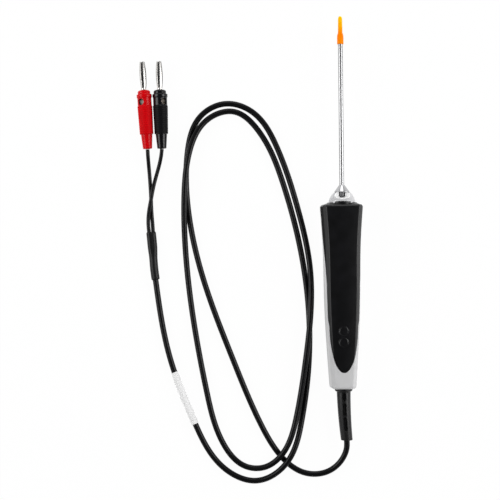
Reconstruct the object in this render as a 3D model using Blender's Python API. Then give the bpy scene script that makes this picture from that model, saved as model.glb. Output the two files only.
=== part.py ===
"""A resistance temperature probe, lying on the back of its handle.

A thin steel sheath with a sensing element in its tip stands in a vented nose, in a two-shell
handle. The cable leaves the handle through a rubber boot and ends in two stacking lab plugs.
Metres, +Z up, the sheath points along +Y, and the origin is on the floor under the handle's middle.
"""

import math

import bmesh
import bpy
import numpy as np

# Clearances: between pieces that seat on each other, and round small turned pieces
GAP = 0.0003
CLOSE = 0.00012

# Points nearer than this after a Boolean are one point
WELD_DISTANCE = 0.000001

# Sheath, its reduced tip, and the sensing element inside
SHEATH_DIAMETER = 0.0030
SHEATH_WALL = 0.0003
SHEATH_REACH = 0.1075
SHEATH_TAIL = 0.012
TIP_DIAMETER = 0.0019
TIP_WALL = 0.00025
TIP_LENGTH = 0.0105
ELEMENT_DIAMETER = 0.0010
ELEMENT_LENGTH = 0.0060
ELEMENT_WIRE = 0.00036
ELEMENT_WIRE_SPREAD = 0.00035

# Push-on tip cap
CAP_COLLAR_LENGTH = 0.0064
CAP_COLLAR_WALL = 0.00045
CAP_BODY_WALL = 0.00035
CAP_END_WALL = 0.0009

# Cone on the sheath, and the nose that it is bolted to. Heights are from the handle's head face
CONE_HEIGHT = 0.0038
CONE_BASE_DIAMETER = 0.0108
CONE_LIP = 0.00025
HUB_DIAMETER = 0.0064
STEM_DIAMETER = 0.0056
NUT_THICKNESS = 0.0030
NUT_ACROSS_CORNERS = 0.0092
NOSE_BASE_DIAMETER = 0.0170
NOSE_RIM_DIAMETER = 0.0113
NOSE_SHOULDER = 0.0022
NOSE_RIM_HEIGHT = 0.0082
NOSE_BULGE = 0.00013
NOSE_WALL = 0.0015
NOSE_WEB_HEIGHT = 0.0030
NOSE_WEB = 0.0015
NOSE_NECK_DIAMETER = 0.0130
NOSE_FLANGE_DIAMETER = 0.0162
NOSE_FLANGE = 0.0015
WINDOW_COUNT = 4
WINDOW_WIDTH = 0.0070
WINDOW_DEPTH = 0.0037
KEY_WIDTH = 0.0010
KEY_ANGLE = math.radians(37)

# Handle: lengths are from the head, where the nose sits, to the end, where the cable leaves
HANDLE_LENGTH = 0.1186
NECK_AT = 0.025
GRIP_AT = 0.056
HEAD_WIDTH = 0.0286
NECK_WIDTH = 0.0253
GRIP_WIDTH = 0.0242
END_WIDTH = 0.0181
HEAD_DEPTH = 0.0220
NECK_DEPTH = 0.0208
GRIP_DEPTH = 0.0200
END_DEPTH = 0.0165
SHELL_WALL = 0.0020
HEAD_WALL = 0.0026
END_WALL = 0.0026
HEAD_EDGE_RADIUS = 0.0020
HEAD_DOME = 0.0008
HEAD_DOME_WIDTH = 0.0022
END_EDGE_RADIUS = 0.0024
BACK_CORNER = 0.0035
FLANK_DRAFT = 0.0013
CHAMFER_DROP = 0.0042
CHAMFER_WIDTH = 0.0021
FRONT_CROWN = 0.0005
SOCKET_HEIGHT = 0.0019
SOCKET_WALL = 0.0007

# Black cover: where its edge runs along the flanks, and the tongue that it ends in
PARTING_LOW = 0.0050
PARTING_RISE_FROM = 0.017
PARTING_RISE_TO = 0.052
PARTING_DROP = 0.0037
TONGUE_END = 0.0107
TONGUE_LENGTH = 0.030
TONGUE_WIDTH = 0.0184
MARK_DIAMETER = 0.0064
MARK_DEPTH = 0.00035
MARK_FROM_TONGUE = (0.0272, 0.0200)

# Housing screws, in bosses on the handle's centre line
HOUSING_SCREW_AT = (0.0250, 0.0775)
HOUSING_SCREW_DIAMETER = 0.0026
HOUSING_HEAD_DIAMETER = 0.0046
HOUSING_HEAD_HEIGHT = 0.0020
HOUSING_RECESS = 0.0032
BOSS_WALL = 0.0010
BOSS_TOP = 0.0095
SCREW_BITE = 0.0060

# Cable, its boot, and the saddle that holds it inside the handle
CABLE_DIAMETER = 0.0038
BOOT_LENGTH = 0.0335
BOOT_ROOT_DIAMETER = 0.0090
BOOT_TIP_DIAMETER = 0.0075
BOOT_FLANGE_DIAMETER = 0.0116
BOOT_FLANGE = 0.0011
BOOT_SLOTS = ((0.0028, 0.0080), (0.0093, 0.0176), (0.0184, 0.0273))
BOOT_SLOT_WIDTH = 0.0021
BOOT_SLOT_DEPTH = 0.0013
BOOT_LEAN = 0.0018
BOOT_SAG = 0.0013
SADDLE_AT = 0.1005
SADDLE_WIDTH = 0.0050
SADDLE_TOP = 0.0018
SADDLE_SCREW_DIAMETER = 0.0018
SADDLE_HEAD_DIAMETER = 0.0034
SADDLE_HEAD_HEIGHT = 0.0012
SADDLE_POST_WALL = 0.0006
STUB_END_AT = 0.0920

# Splices between the element's wires and the cable's cores
SPLICE_DIAMETER = 0.0026
SPLICE_LENGTH = 0.014
SPLICE_AT = 0.0460
SPLICE_SPREAD = 0.0049
CORE_DIAMETER = 0.0011
CORE_SPREAD = 0.0009

# Free cable, marker sleeve, Y sleeve and the two leads
FLOOR_CLEARANCE = 0.00005
MARKER_START = 1.1715
MARKER_LENGTH = 0.036
MARKER_WALL = 0.00025
MARKER_FIT = 0.00025
Y_SLEEVE_WIDTH = 0.0063
Y_SLEEVE_WALL = 0.0008
Y_SLEEVE_SHOULDER = 0.55
LEAD_DIAMETER = 0.0025

# Stacking plug: lengths are from its tail to its pin
PLUG_LENGTH = 0.0380
PLUG_TAIL_DIAMETER = 0.0059
PLUG_TAIL_LENGTH = 0.0095
PLUG_TAIL_ROOT_DIAMETER = 0.0075
GRIP_ROOT_DIAMETER = 0.0088
GRIP_TOP_DIAMETER = 0.0097
GRIP_LENGTH = 0.0182
GRIP_RIBS = 13
RIB_DEPTH = 0.00028
BARREL_DIAMETER = 0.0091
COLLAR_DIAMETER = 0.0098
COLLAR_AT = 0.0335
COLLAR_WIDTH = 0.0018
SHOULDER_DIAMETER = 0.0082
NOSE_OF_PLUG_DIAMETER = 0.0056
CROSS_HOLE_DIAMETER = 0.0040
CROSS_HOLE_AT = 0.0303
PLUG_CORE_DIAMETER = 0.0060
PLUG_CORE_AT = 0.0133
PLUG_CORE_END = 0.0352
PLUG_BOSS_DIAMETER = 0.0040
PLUG_ROOT_DIAMETER = 0.0024
PLUG_ROOT_LENGTH = 0.0044
WIRE_SCREW_AT = 0.0178
WIRE_SCREW_DIAMETER = 0.0020
PIN_LENGTH = 0.0182
PIN_NECK_DIAMETER = 0.0032
PIN_BOW_DIAMETER = 0.0044
PIN_STRIP = 0.00038
PIN_STRIPS = 4
PIN_STRIP_SHARE = 0.70

# Where each plug lies: its tail on the floor plan, its heading from +Y, and the roll of its cross hole
PLUGS = {
    "red": ((-0.1251, 0.0968), math.radians(3.1), math.radians(-31)),
    "black": ((-0.11585, 0.0969), math.radians(1.5), math.radians(40)),
}

# The cable's route from the boot to the Y sleeve, in two loops, with each crossing a long low hump
CABLE_ROUTE = (
    (0.0018, -0.0931, 0.0069), (0.0018, -0.0970, 0.0066), (-0.0003, -0.1038, 0.0055),
    (-0.0105, -0.1135, 0.0032), (-0.0260, -0.1142, 0.0021), (-0.0406, -0.1036, 0.0020),
    (-0.0533, -0.0832, 0.0020), (-0.0718, -0.0390, 0.0020), (-0.0902, 0.0128, 0.0020),
    (-0.0998, 0.0618, 0.0020), (-0.0994, 0.0947, 0.0020), (-0.0912, 0.1173, 0.0020),
    (-0.0748, 0.1258, 0.0020), (-0.0560, 0.1195, 0.0020), (-0.0420, 0.0988, 0.0020),
    (-0.0281, 0.0570, 0.0020), (-0.0206, 0.0178, 0.0040), (-0.0208, -0.0121, 0.0067),
    (-0.0243, -0.0419, 0.0061), (-0.0304, -0.0774, 0.0050), (-0.0410, -0.1028, 0.0065),
    (-0.0516, -0.1101, 0.0050), (-0.0640, -0.1096, 0.0029), (-0.0785, -0.0942, 0.0020),
    (-0.0882, -0.0628, 0.0020), (-0.0975, -0.0086, 0.0020), (-0.1018, 0.0412, 0.0033),
    (-0.1016, 0.0672, 0.0063), (-0.0979, 0.0949, 0.0064), (-0.0860, 0.1157, 0.0034),
    (-0.0689, 0.1206, 0.0020), (-0.0539, 0.1090, 0.0020), (-0.0380, 0.0751, 0.0020),
    (-0.0251, 0.0217, 0.0020), (-0.0215, -0.0332, 0.0020), (-0.0273, -0.0816, 0.0028),
    (-0.0368, -0.1067, 0.0065), (-0.0572, -0.1191, 0.0029), (-0.0773, -0.1112, 0.0020),
    (-0.0969, -0.0802, 0.0026), (-0.1124, -0.0379, 0.0026), (-0.1211, 0.0130, 0.0028),
)
Y_SLEEVE_ROUTE = (
    (-0.1211, 0.0134, 0.0028), (-0.1216, 0.0175, 0.0029), (-0.1225, 0.0300, 0.0029),
    (-0.1235, 0.0418, 0.0029),
)
RED_LEAD_ROUTE = (
    (-0.1223, 0.0422, 0.0022), (-0.1226, 0.0475, 0.0014), (-0.1232, 0.0560, 0.0013),
    (-0.1235, 0.0650, 0.0013), (-0.1239, 0.0740, 0.0013), (-0.1246, 0.0850, 0.0021),
    (-0.1250, 0.0930, 0.0046), (-0.12512, 0.0965, 0.0050),
)
BLACK_LEAD_ROUTE = (
    (-0.1248, 0.0422, 0.0034), (-0.1253, 0.0475, 0.0028), (-0.1249, 0.0555, 0.0033),
    (-0.1233, 0.0640, 0.0042), (-0.1214, 0.0735, 0.0033), (-0.1188, 0.0830, 0.0023),
    (-0.1165, 0.0920, 0.0042), (-0.11584, 0.0966, 0.0050),
)

# How finely the free cords are followed
CABLE_POINTS = 63
LEAD_POINTS = 9

HEAD_Y = HANDLE_LENGTH / 2
END_Y = -HANDLE_LENGTH / 2
PROBE_Z = HEAD_DEPTH / 2
CABLE_Z = END_DEPTH / 2


def clear_scene():
    for found in list(bpy.data.objects):
        bpy.data.objects.remove(found, do_unlink=True)


def finish(name, colour, roughness, metallic=0.0, alpha=1.0):
    """A plain Principled material, made once for each name."""
    made = bpy.data.materials.get(name)
    if made:
        return made
    made = bpy.data.materials.new(name)
    made.use_nodes = True
    shader = made.node_tree.nodes["Principled BSDF"]
    shader.inputs["Base Color"].default_value = (*colour, 1.0)
    shader.inputs["Roughness"].default_value = roughness
    shader.inputs["Metallic"].default_value = metallic
    shader.inputs["Alpha"].default_value = alpha
    made.diffuse_color = (*colour, alpha)
    return made


def stainless():
    return finish("stainless_steel", (0.62, 0.62, 0.63), 0.18, 1.0)


def plated_brass():
    return finish("nickel_plated_brass", (0.72, 0.71, 0.69), 0.22, 1.0)


def screw_steel():
    return finish("zinc_plated_steel", (0.55, 0.56, 0.58), 0.35, 1.0)


def cap_orange():
    return finish("orange_soft_cap", (0.95, 0.42, 0.03), 0.4, 0.0, 0.85)


def ceramic():
    return finish("white_ceramic", (0.86, 0.85, 0.82), 0.5)


def shell_grey():
    return finish("light_grey_plastic", (0.60, 0.60, 0.60), 0.45)


def nose_silver():
    return finish("silver_grey_plastic", (0.66, 0.66, 0.67), 0.3, 0.3)


def cover_black():
    return finish("black_soft_plastic", (0.012, 0.012, 0.013), 0.55)


def rubber_black():
    return finish("black_rubber", (0.015, 0.015, 0.016), 0.5)


def jacket_black():
    return finish("black_jacket", (0.010, 0.010, 0.011), 0.4)


def marker_white():
    return finish("white_sleeve", (0.85, 0.85, 0.85), 0.5)


def wire(colour):
    shades = {"red": (0.62, 0.02, 0.02), "black": (0.02, 0.02, 0.02), "white": (0.8, 0.8, 0.8)}
    return finish(colour + "_wire", shades[colour], 0.4)


def plug_plastic(colour):
    shades = {"red": (0.62, 0.005, 0.010), "black": (0.012, 0.012, 0.013)}
    return finish(colour + "_plug_plastic", shades[colour], 0.35)


def spaced_along(axis, u, v, w):
    """Points of a section (u, v) at the distance w along an axis."""
    order = {"x": (w, u, v), "y": (u, w, v), "z": (u, v, w)}[axis]
    return np.stack(np.broadcast_arrays(*order), axis=-1).astype(float)


def skin(name, rings, material, loop=False):
    """A closed solid over rings of points. A ring of one point is a tip, and each other ring has
    as many points as the next. With loop the last ring joins the first, and else both ends are capped."""
    rings = [np.atleast_2d(ring) for ring in rings]
    starts = np.cumsum([0] + [len(ring) for ring in rings])
    faces = []
    last = len(rings) if loop else len(rings) - 1
    for i in range(last):
        j = (i + 1) % len(rings)
        a, b = range(starts[i], starts[i + 1]), range(starts[j], starts[j + 1])
        sides = max(len(a), len(b))
        for k in range(sides if sides > 1 else 0):
            after = (k + 1) % sides
            if len(a) == 1:
                faces.append((a[0], b[after], b[k]))
            elif len(b) == 1:
                faces.append((a[k], a[after], b[0]))
            else:
                faces.append((a[k], a[after], b[after], b[k]))
    if not loop:
        faces += [tuple(range(starts[i], starts[i + 1])) for i in (0, len(rings) - 1) if len(rings[i]) > 1]
    return solid(name, np.concatenate(rings), faces, material)


def solid(name, points, faces, material):
    """An object from points and faces, its normals outwards, smooth but for its sharp edges."""
    mesh = bpy.data.meshes.new(name)
    mesh.from_pydata([tuple(p) for p in points], [], faces)
    shaper = bmesh.new()
    shaper.from_mesh(mesh)
    bmesh.ops.recalc_face_normals(shaper, faces=shaper.faces)
    shaper.to_mesh(mesh)
    shaper.free()
    mesh.shade_smooth()
    mesh.set_sharp_from_angle(angle=math.radians(35))
    if material:
        mesh.materials.append(material)
    made = bpy.data.objects.new(name, mesh)
    bpy.context.scene.collection.objects.link(made)
    return made


def turned(name, profile, material=None, axis="y", centre=(0.0, 0.0), sides=24, loop=False):
    """A solid of revolution from (distance along the axis, radius) points. The flats between its
    sides face the section's axes, and a point with no radius lies on the axis itself."""
    angle = (np.arange(sides) + 0.5) * 2 * math.pi / sides
    rings = []
    for w, radius in profile:
        around = angle if radius > 0 else np.zeros(1)
        rings.append(
            spaced_along(axis, centre[0] + radius * np.sin(around), centre[1] + radius * np.cos(around), w)
        )
    return skin(name, rings, material, loop)


def prism(name, outline, low, high, axis="z", material=None):
    """An outline of (u, v) points, extruded from low to high along the axis."""
    outline = np.array(outline, float)
    rings = [spaced_along(axis, outline[:, 0], outline[:, 1], w) for w in (low, high)]
    return skin(name, rings, material)


def rounded(corners):
    """An outline whose corners (u, v, radius, steps) are turned into arcs. No arc takes more than
    half of the shorter edge at its corner."""
    points = np.array([corner[:2] for corner in corners], float)
    outline = []
    for i, (_, _, radius, steps) in enumerate(corners):
        here = points[i]
        back, ahead = points[i - 1] - here, points[(i + 1) % len(points)] - here
        room = 0.49 * min(np.hypot(*back), np.hypot(*ahead))
        back, ahead = back / np.hypot(*back), ahead / np.hypot(*ahead)
        half = math.acos(np.clip(back @ ahead, -1, 1)) / 2
        reach = min(radius / math.tan(half), room)
        centre = here + (back + ahead) / np.hypot(*(back + ahead)) * reach / math.cos(half)
        first, last = here + back * reach - centre, here + ahead * reach - centre
        swing = math.atan2(first[0] * last[1] - first[1] * last[0], first @ last)
        for angle in np.linspace(0, swing, steps + 1):
            c, s = math.cos(angle), math.sin(angle)
            outline.append((centre[0] + c * first[0] - s * first[1], centre[1] + s * first[0] + c * first[1]))
    return np.array(outline)


def stadium(width, low, high, steps=5):
    """A slot's outline, width across in u, with round ends at low and high in v."""
    radius = width / 2
    turn = np.linspace(0, math.pi, steps + 1)
    top = [(radius * math.cos(a), high - radius + radius * math.sin(a)) for a in turn]
    bottom = [(-radius * math.cos(a), low + radius - radius * math.sin(a)) for a in turn]
    return top + bottom


def shape(target, tool, operation):
    """Adds, cuts or keeps what a tool object covers, and welds the points that this leaves in one
    place. The tool itself isn't part of the model."""
    step = target.modifiers.new(operation.lower() + "_" + tool.name, "BOOLEAN")
    step.operation = operation
    step.solver = "EXACT"
    step.object = tool
    weld = target.modifiers.new("weld_" + tool.name, "WELD")
    weld.merge_threshold = WELD_DISTANCE
    tool.hide_render = True
    tool.display_type = "WIRE"
    return target


def add(target, tool):
    return shape(target, tool, "UNION")


def cut(target, tool):
    return shape(target, tool, "DIFFERENCE")


def bake(target):
    """Puts what the modifiers make of an object into its mesh."""
    graph = bpy.context.evaluated_depsgraph_get()
    target.data = bpy.data.meshes.new_from_object(target.evaluated_get(graph))
    target.modifiers.clear()
    return target


def spline(knots, values, at):
    """A smooth curve through values given at knots. Each stretch is a cubic, the second
    derivatives at the knots solve for an unbroken slope, and they are zero at both ends."""
    knots, values, at = (np.asarray(given, float) for given in (knots, values, at))
    step = np.diff(knots)
    slope = np.diff(values, axis=0) / step[:, None]
    system = np.eye(len(knots))
    wanted = np.zeros_like(values)
    for i in range(1, len(knots) - 1):
        system[i, i - 1 : i + 2] = step[i - 1], 2 * (step[i - 1] + step[i]), step[i]
    wanted[1:-1] = 6 * np.diff(slope, axis=0)
    bend = np.linalg.solve(system, wanted)
    i = np.clip(np.searchsorted(knots, at, side="right") - 1, 0, len(knots) - 2)
    ahead = ((at - knots[i]) / step[i])[:, None]
    behind = 1 - ahead
    sway = (behind**3 - behind) * bend[i] + (ahead**3 - ahead) * bend[i + 1]
    return behind * values[i] + ahead * values[i + 1] + step[i][:, None] ** 2 / 6 * sway


def lengths_along(points):
    """The distance from the first point to each point, along the line through them."""
    return np.concatenate([[0], np.cumsum(np.linalg.norm(np.diff(points, axis=0), axis=1))])


def smooth_route(route, lowest, samples=1500):
    """Many points of the smooth curve through a route, none lower than lowest."""
    route = np.array(route, float)
    knots = lengths_along(route)
    line = spline(knots, route, np.linspace(0, knots[-1], samples))
    line[:, 2] = np.maximum(line[:, 2], lowest)
    return line


def thinned(line, count):
    """Count points of a line, closer together where it bends: their density is the square root
    of its curvature, plus a share that keeps some on the straight runs."""
    length = lengths_along(line)
    heading = np.gradient(line, length, axis=0)
    curvature = np.linalg.norm(np.gradient(heading, length, axis=0), axis=1)
    density = np.sqrt(curvature) + 0.35 * math.sqrt(curvature.max())
    weight = np.concatenate([[0], np.cumsum((density[1:] + density[:-1]) / 2 * np.diff(length))])
    at = np.interp(np.linspace(0, weight[-1], count), weight, length)
    return np.stack([np.interp(at, length, line[:, k]) for k in range(3)], axis=1)


def cord(name, points, diameter, material, resolution=2):
    """A round cord along the points, as a curve with filled ends."""
    curve = bpy.data.curves.new(name, "CURVE")
    curve.dimensions = "3D"
    curve.bevel_depth = diameter / 2
    curve.bevel_resolution = resolution
    curve.use_fill_caps = True
    run = curve.splines.new("POLY")
    run.points.add(len(points) - 1)
    for spot, point in zip(run.points, points):
        spot.co = (*point, 1.0)
    curve.materials.append(material)
    made = bpy.data.objects.new(name, curve)
    bpy.context.scene.collection.objects.link(made)
    return made


def rings_along(line, sections):
    """A ring of points square to the line at each of its points. A section is an (n, 2) array
    of offsets, first to the side and then up."""
    ahead = np.gradient(line, axis=0)
    ahead /= np.linalg.norm(ahead, axis=1)[:, None]
    side = np.cross(ahead, (0, 0, 1))
    side /= np.linalg.norm(side, axis=1)[:, None]
    up = np.cross(side, ahead)
    return [
        point + section[:, :1] * across + section[:, 1:] * above
        for point, section, across, above in zip(line, sections, side, up)
    ]


def oval(half_width, half_height, sides):
    angle = np.linspace(0, 2 * math.pi, sides, endpoint=False)
    return np.stack([half_width * np.sin(angle), half_height * np.cos(angle)], axis=1)


def handle_size(distance):
    """Width and depth of the handle at distances from its head."""
    at = (0, NECK_AT, GRIP_AT, HANDLE_LENGTH)
    sizes = (
        (HEAD_WIDTH, HEAD_DEPTH),
        (NECK_WIDTH, NECK_DEPTH),
        (GRIP_WIDTH, GRIP_DEPTH),
        (END_WIDTH, END_DEPTH),
    )
    return spline(at, sizes, np.atleast_1d(distance))


def handle_ring(distance, inset, steps=2):
    """The handle's outline at one distance, moved inwards by inset: a flat back with round
    corners, flanks that lean in, two chamfers, and a crowned front."""
    width, depth = handle_size(distance)[0]
    shoulder = width / 2 - FLANK_DRAFT
    edge = shoulder - CHAMFER_WIDTH
    right = [
        (width / 2, 0, BACK_CORNER, steps + 1),
        (shoulder, depth - CHAMFER_DROP, 0.0016, steps),
        (edge, depth - FRONT_CROWN, 0.0010, steps),
    ]
    left = [(-u, v, radius, turns) for u, v, radius, turns in reversed(right)]
    outline = rounded(right + [(0, depth, 0.0300, 2 * steps - 1)] + left)
    outline[:, 0] *= 1 - inset / (width / 2)
    outline[:, 1] = depth / 2 + (outline[:, 1] - depth / 2) * (1 - inset / (depth / 2))
    return spaced_along("y", outline[:, 0], outline[:, 1], HEAD_Y - distance)


def edge_turn(radius, steps):
    """(distance, inset) of a quarter-round edge, from the end face to the full outline."""
    angle = np.linspace(0, math.pi / 2, steps + 1)
    return [(radius * (1 - math.cos(a)), radius * (1 - math.sin(a))) for a in angle]


def handle_block(name):
    """The handle's outer form with its hollow cut out, before it is parted into two shells."""
    head = [(-HEAD_DOME, HEAD_EDGE_RADIUS + HEAD_DOME_WIDTH)] + edge_turn(HEAD_EDGE_RADIUS, 3)
    end = [(HANDLE_LENGTH - d, inset) for d, inset in reversed(edge_turn(END_EDGE_RADIUS, 3))]
    middle = np.linspace(HEAD_EDGE_RADIUS, HANDLE_LENGTH - END_EDGE_RADIUS, 11)[1:-1]
    stations = head + [(d, 0.0) for d in middle] + end
    block = skin(name, [handle_ring(d, inset) for d, inset in stations], None)
    add(block, socket_ring(name + "_socket"))
    inside = np.linspace(HEAD_WALL, HANDLE_LENGTH - END_WALL, 6)
    cut(block, skin(name + "_hollow", [handle_ring(d, SHELL_WALL, 1) for d in inside], None))
    nose_bore = NOSE_NECK_DIAMETER / 2 + GAP
    boot_bore = BOOT_ROOT_DIAMETER / 2 + GAP
    past = 0.001
    socket = NOSE_BASE_DIAMETER / 2 + GAP
    through_head = [(HEAD_Y - HEAD_WALL - past, 0), (HEAD_Y - HEAD_WALL - past, nose_bore)]
    through_head += [(HEAD_Y, nose_bore), (HEAD_Y, socket)]
    through_head += [(HEAD_Y + SOCKET_HEIGHT + past, socket), (HEAD_Y + SOCKET_HEIGHT + past, 0)]
    through_end = [(END_Y - past, 0), (END_Y - past, boot_bore)]
    through_end += [(END_Y + END_WALL + past, boot_bore), (END_Y + END_WALL + past, 0)]
    cut(block, turned(name + "_nose_bore", through_head, centre=(0, PROBE_Z), sides=32))
    cut(block, turned(name + "_boot_bore", through_end, centre=(0, CABLE_Z), sides=24))
    for side in (-1, 1):
        inner, outer = socket - SOCKET_WALL, socket + 2 * SOCKET_WALL
        cut(block, key_block(name + f"_notch_{side}", side, inner, outer, GAP))
    return block


def socket_ring(name):
    """The low ring on the head that the nose sits down into."""
    inner = NOSE_BASE_DIAMETER / 2
    outer = inner + GAP + SOCKET_WALL
    root = HEAD_Y - HEAD_WALL / 2
    rim = HEAD_Y + SOCKET_HEIGHT
    bevel = SOCKET_WALL / 3
    profile = [(root, inner), (root, outer), (rim - bevel, outer), (rim, outer - bevel), (rim, inner)]
    return turned(name, profile, centre=(0, PROBE_Z), sides=32, loop=True)


def key_block(name, side, inner, outer, grow):
    """A block across the socket ring at one key, grown all round by a clearance."""
    half = KEY_WIDTH / 2 + grow
    low = HEAD_Y + GAP - grow
    high = HEAD_Y + SOCKET_HEIGHT + (GAP if grow else -GAP)
    block = prism(name, [(-half, low), (half, low), (half, high), (-half, high)], inner, outer)
    block.location = (0, 0, PROBE_Z)
    block.rotation_euler = (0, side * KEY_ANGLE, 0)
    return block


def parting_height(distance):
    """Height of the cover's edge on the flank: low at the head, then up towards the front."""
    t = np.clip((distance - PARTING_RISE_FROM) / (PARTING_RISE_TO - PARTING_RISE_FROM), 0, 1)
    high = handle_size(distance)[:, 1] - PARTING_DROP
    return PARTING_LOW + (high - PARTING_LOW) * t * t * (3 - 2 * t)


def cover_zone(name, grow):
    """The space that the cover takes up, grown by a clearance: above the edge on the flanks, and
    inside a plan outline whose end is half an ellipse."""
    out = 0.03
    rise = np.linspace(PARTING_RISE_FROM, PARTING_RISE_TO, 11)
    after = np.linspace(PARTING_RISE_TO, HANDLE_LENGTH - TONGUE_END, 6)[1:]
    distance = np.concatenate([rise, after])
    edge = [(HEAD_Y - d, z - grow) for d, z in zip(distance, parting_height(distance))]
    side = [(HEAD_Y + out, HEAD_DEPTH + out), (HEAD_Y + out, PARTING_LOW - grow)] + edge
    side += [(END_Y, edge[-1][1]), (END_Y, HEAD_DEPTH + out)]
    tongue_y = END_Y + TONGUE_END + TONGUE_LENGTH
    turn = np.linspace(math.pi, 2 * math.pi, 21)
    across, along = TONGUE_WIDTH / 2 + grow, TONGUE_LENGTH + grow
    plan = [(across * math.cos(a), tongue_y + along * math.sin(a)) for a in turn]
    flare = TONGUE_WIDTH / 2 + grow + FLANK_DRAFT + CHAMFER_WIDTH
    plan += [(flare, tongue_y + TONGUE_LENGTH / 2), (flare + out, HEAD_Y + 2 * out)]
    plan += [(-flare - out, HEAD_Y + 2 * out), (-flare, tongue_y + TONGUE_LENGTH / 2)]
    zone = prism(name, side, -out, out, axis="x")
    shape(zone, prism(name + "_plan", plan, -out, HEAD_DEPTH + 2 * out), "INTERSECT")
    return zone


def housing_screw_places():
    return [HEAD_Y - d for d in HOUSING_SCREW_AT]


def boss(name, y, low, high, diameter):
    radius = diameter / 2
    return turned(name, [(low, 0), (low, radius), (high, radius), (high, 0)], None, "z", (0, y), 16)


def screw_bore():
    return HOUSING_SCREW_DIAMETER + 2 * GAP


def rear_shell():
    """Light grey half: the back, most of the flanks, and the whole cable end."""
    shell = handle_block("rear_shell")
    shell.data.materials.append(shell_grey())
    cut(shell, cover_zone("rear_shell_cover_space", GAP))
    head_bore = HOUSING_HEAD_DIAMETER + 2 * GAP
    for i, y in enumerate(housing_screw_places(), 1):
        add(shell, boss(f"rear_boss_{i}", y, SHELL_WALL / 2, BOSS_TOP, head_bore + 2 * BOSS_WALL))
    bore = [(-GAP, 0), (-GAP, head_bore / 2), (HOUSING_RECESS, head_bore / 2)]
    bore += [(HOUSING_RECESS, screw_bore() / 2), (BOSS_TOP + GAP, screw_bore() / 2), (BOSS_TOP + GAP, 0)]
    for i, y in enumerate(housing_screw_places(), 1):
        cut(shell, turned(f"rear_bore_{i}", bore, None, "z", (0, y), 16))
    for side, post in zip((-1, 1), saddle_posts()):
        add(shell, post)
        bore = [(SHELL_WALL + GAP, 0), (SHELL_WALL + GAP, saddle_bore() / 2)]
        bore += [(saddle_seat() + GAP, saddle_bore() / 2), (saddle_seat() + GAP, 0)]
        centre = (side * saddle_screw_x(), HEAD_Y - SADDLE_AT)
        cut(shell, turned(f"saddle_post_bore_{side}", bore, None, "z", centre, 12))
    half, cradle = CABLE_DIAMETER * 0.6, CABLE_Z - CABLE_DIAMETER / 2 - GAP
    low, high = HEAD_Y - SADDLE_AT - SADDLE_WIDTH / 2, HEAD_Y - SADDLE_AT + SADDLE_WIDTH / 2
    corners = [(-half, low), (half, low), (half, high), (-half, high)]
    add(shell, prism("cable_cradle", corners, SHELL_WALL / 2, cradle))
    return shell


def front_cover():
    """Black half: the front, the upper flanks, and the tongue that is let into the grey shell."""
    cover = handle_block("front_cover")
    cover.data.materials.append(cover_black())
    shape(cover, cover_zone("front_cover_space", 0), "INTERSECT")
    head_bore = HOUSING_HEAD_DIAMETER + 2 * GAP
    for i, (d, y) in enumerate(zip(HOUSING_SCREW_AT, housing_screw_places()), 1):
        inside = handle_size(d)[0, 1] - SHELL_WALL / 2
        low = BOSS_TOP + GAP
        add(cover, boss(f"front_boss_{i}", y, low, inside, head_bore))
        cut(cover, boss(f"front_bore_{i}", y, low - GAP, BOSS_TOP + SCREW_BITE + GAP, screw_bore()))
    tongue_tip = END_Y + TONGUE_END
    for i, reach in enumerate(MARK_FROM_TONGUE, 1):
        y = tongue_tip + reach
        front = handle_size(HEAD_Y - y)[0, 1]
        cut(cover, boss(f"front_mark_{i}", y, front - MARK_DEPTH, front + SHELL_WALL, MARK_DIAMETER))
    return cover


def housing_screws():
    """Pan-head screws with a hexagon socket, from the back into the cover's bosses."""
    top = HOUSING_RECESS - GAP
    radius, head = HOUSING_SCREW_DIAMETER / 2, HOUSING_HEAD_DIAMETER / 2
    low = top - HOUSING_HEAD_HEIGHT
    edge = HOUSING_HEAD_HEIGHT / 4
    profile = [(low, 0), (low, head - edge), (low + edge, head), (top, head), (top, radius)]
    profile += [(BOSS_TOP + SCREW_BITE - radius, radius), (BOSS_TOP + SCREW_BITE, 0)]
    for i, y in enumerate(housing_screw_places(), 1):
        screw = turned(f"housing_screw_{i}", profile, screw_steel(), "z", (0, y), 16)
        key = [(low - GAP, 0), (low - GAP, radius), (low + HOUSING_HEAD_HEIGHT / 2, radius)]
        key += [(low + HOUSING_HEAD_HEIGHT / 2, 0)]
        cut(screw, turned(f"housing_key_{i}", key, None, "z", (0, y), 6))


def saddle_bore():
    return SADDLE_SCREW_DIAMETER + 2 * GAP


def saddle_screw_x():
    return CABLE_DIAMETER / 2 + GAP + saddle_bore() / 2 + SADDLE_POST_WALL + 0.0005


def saddle_seat():
    """Height of the two posts that the saddle is screwed down on, level with the cable's middle."""
    return CABLE_Z


def saddle_posts():
    radius = saddle_bore() / 2 + SADDLE_POST_WALL
    y = HEAD_Y - SADDLE_AT
    profile = [(SHELL_WALL / 2, 0), (SHELL_WALL / 2, radius), (saddle_seat(), radius), (saddle_seat(), 0)]
    x = saddle_screw_x()
    return [turned(f"saddle_post_{side}", profile, None, "z", (side * x, y), 12) for side in (-1, 1)]


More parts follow.
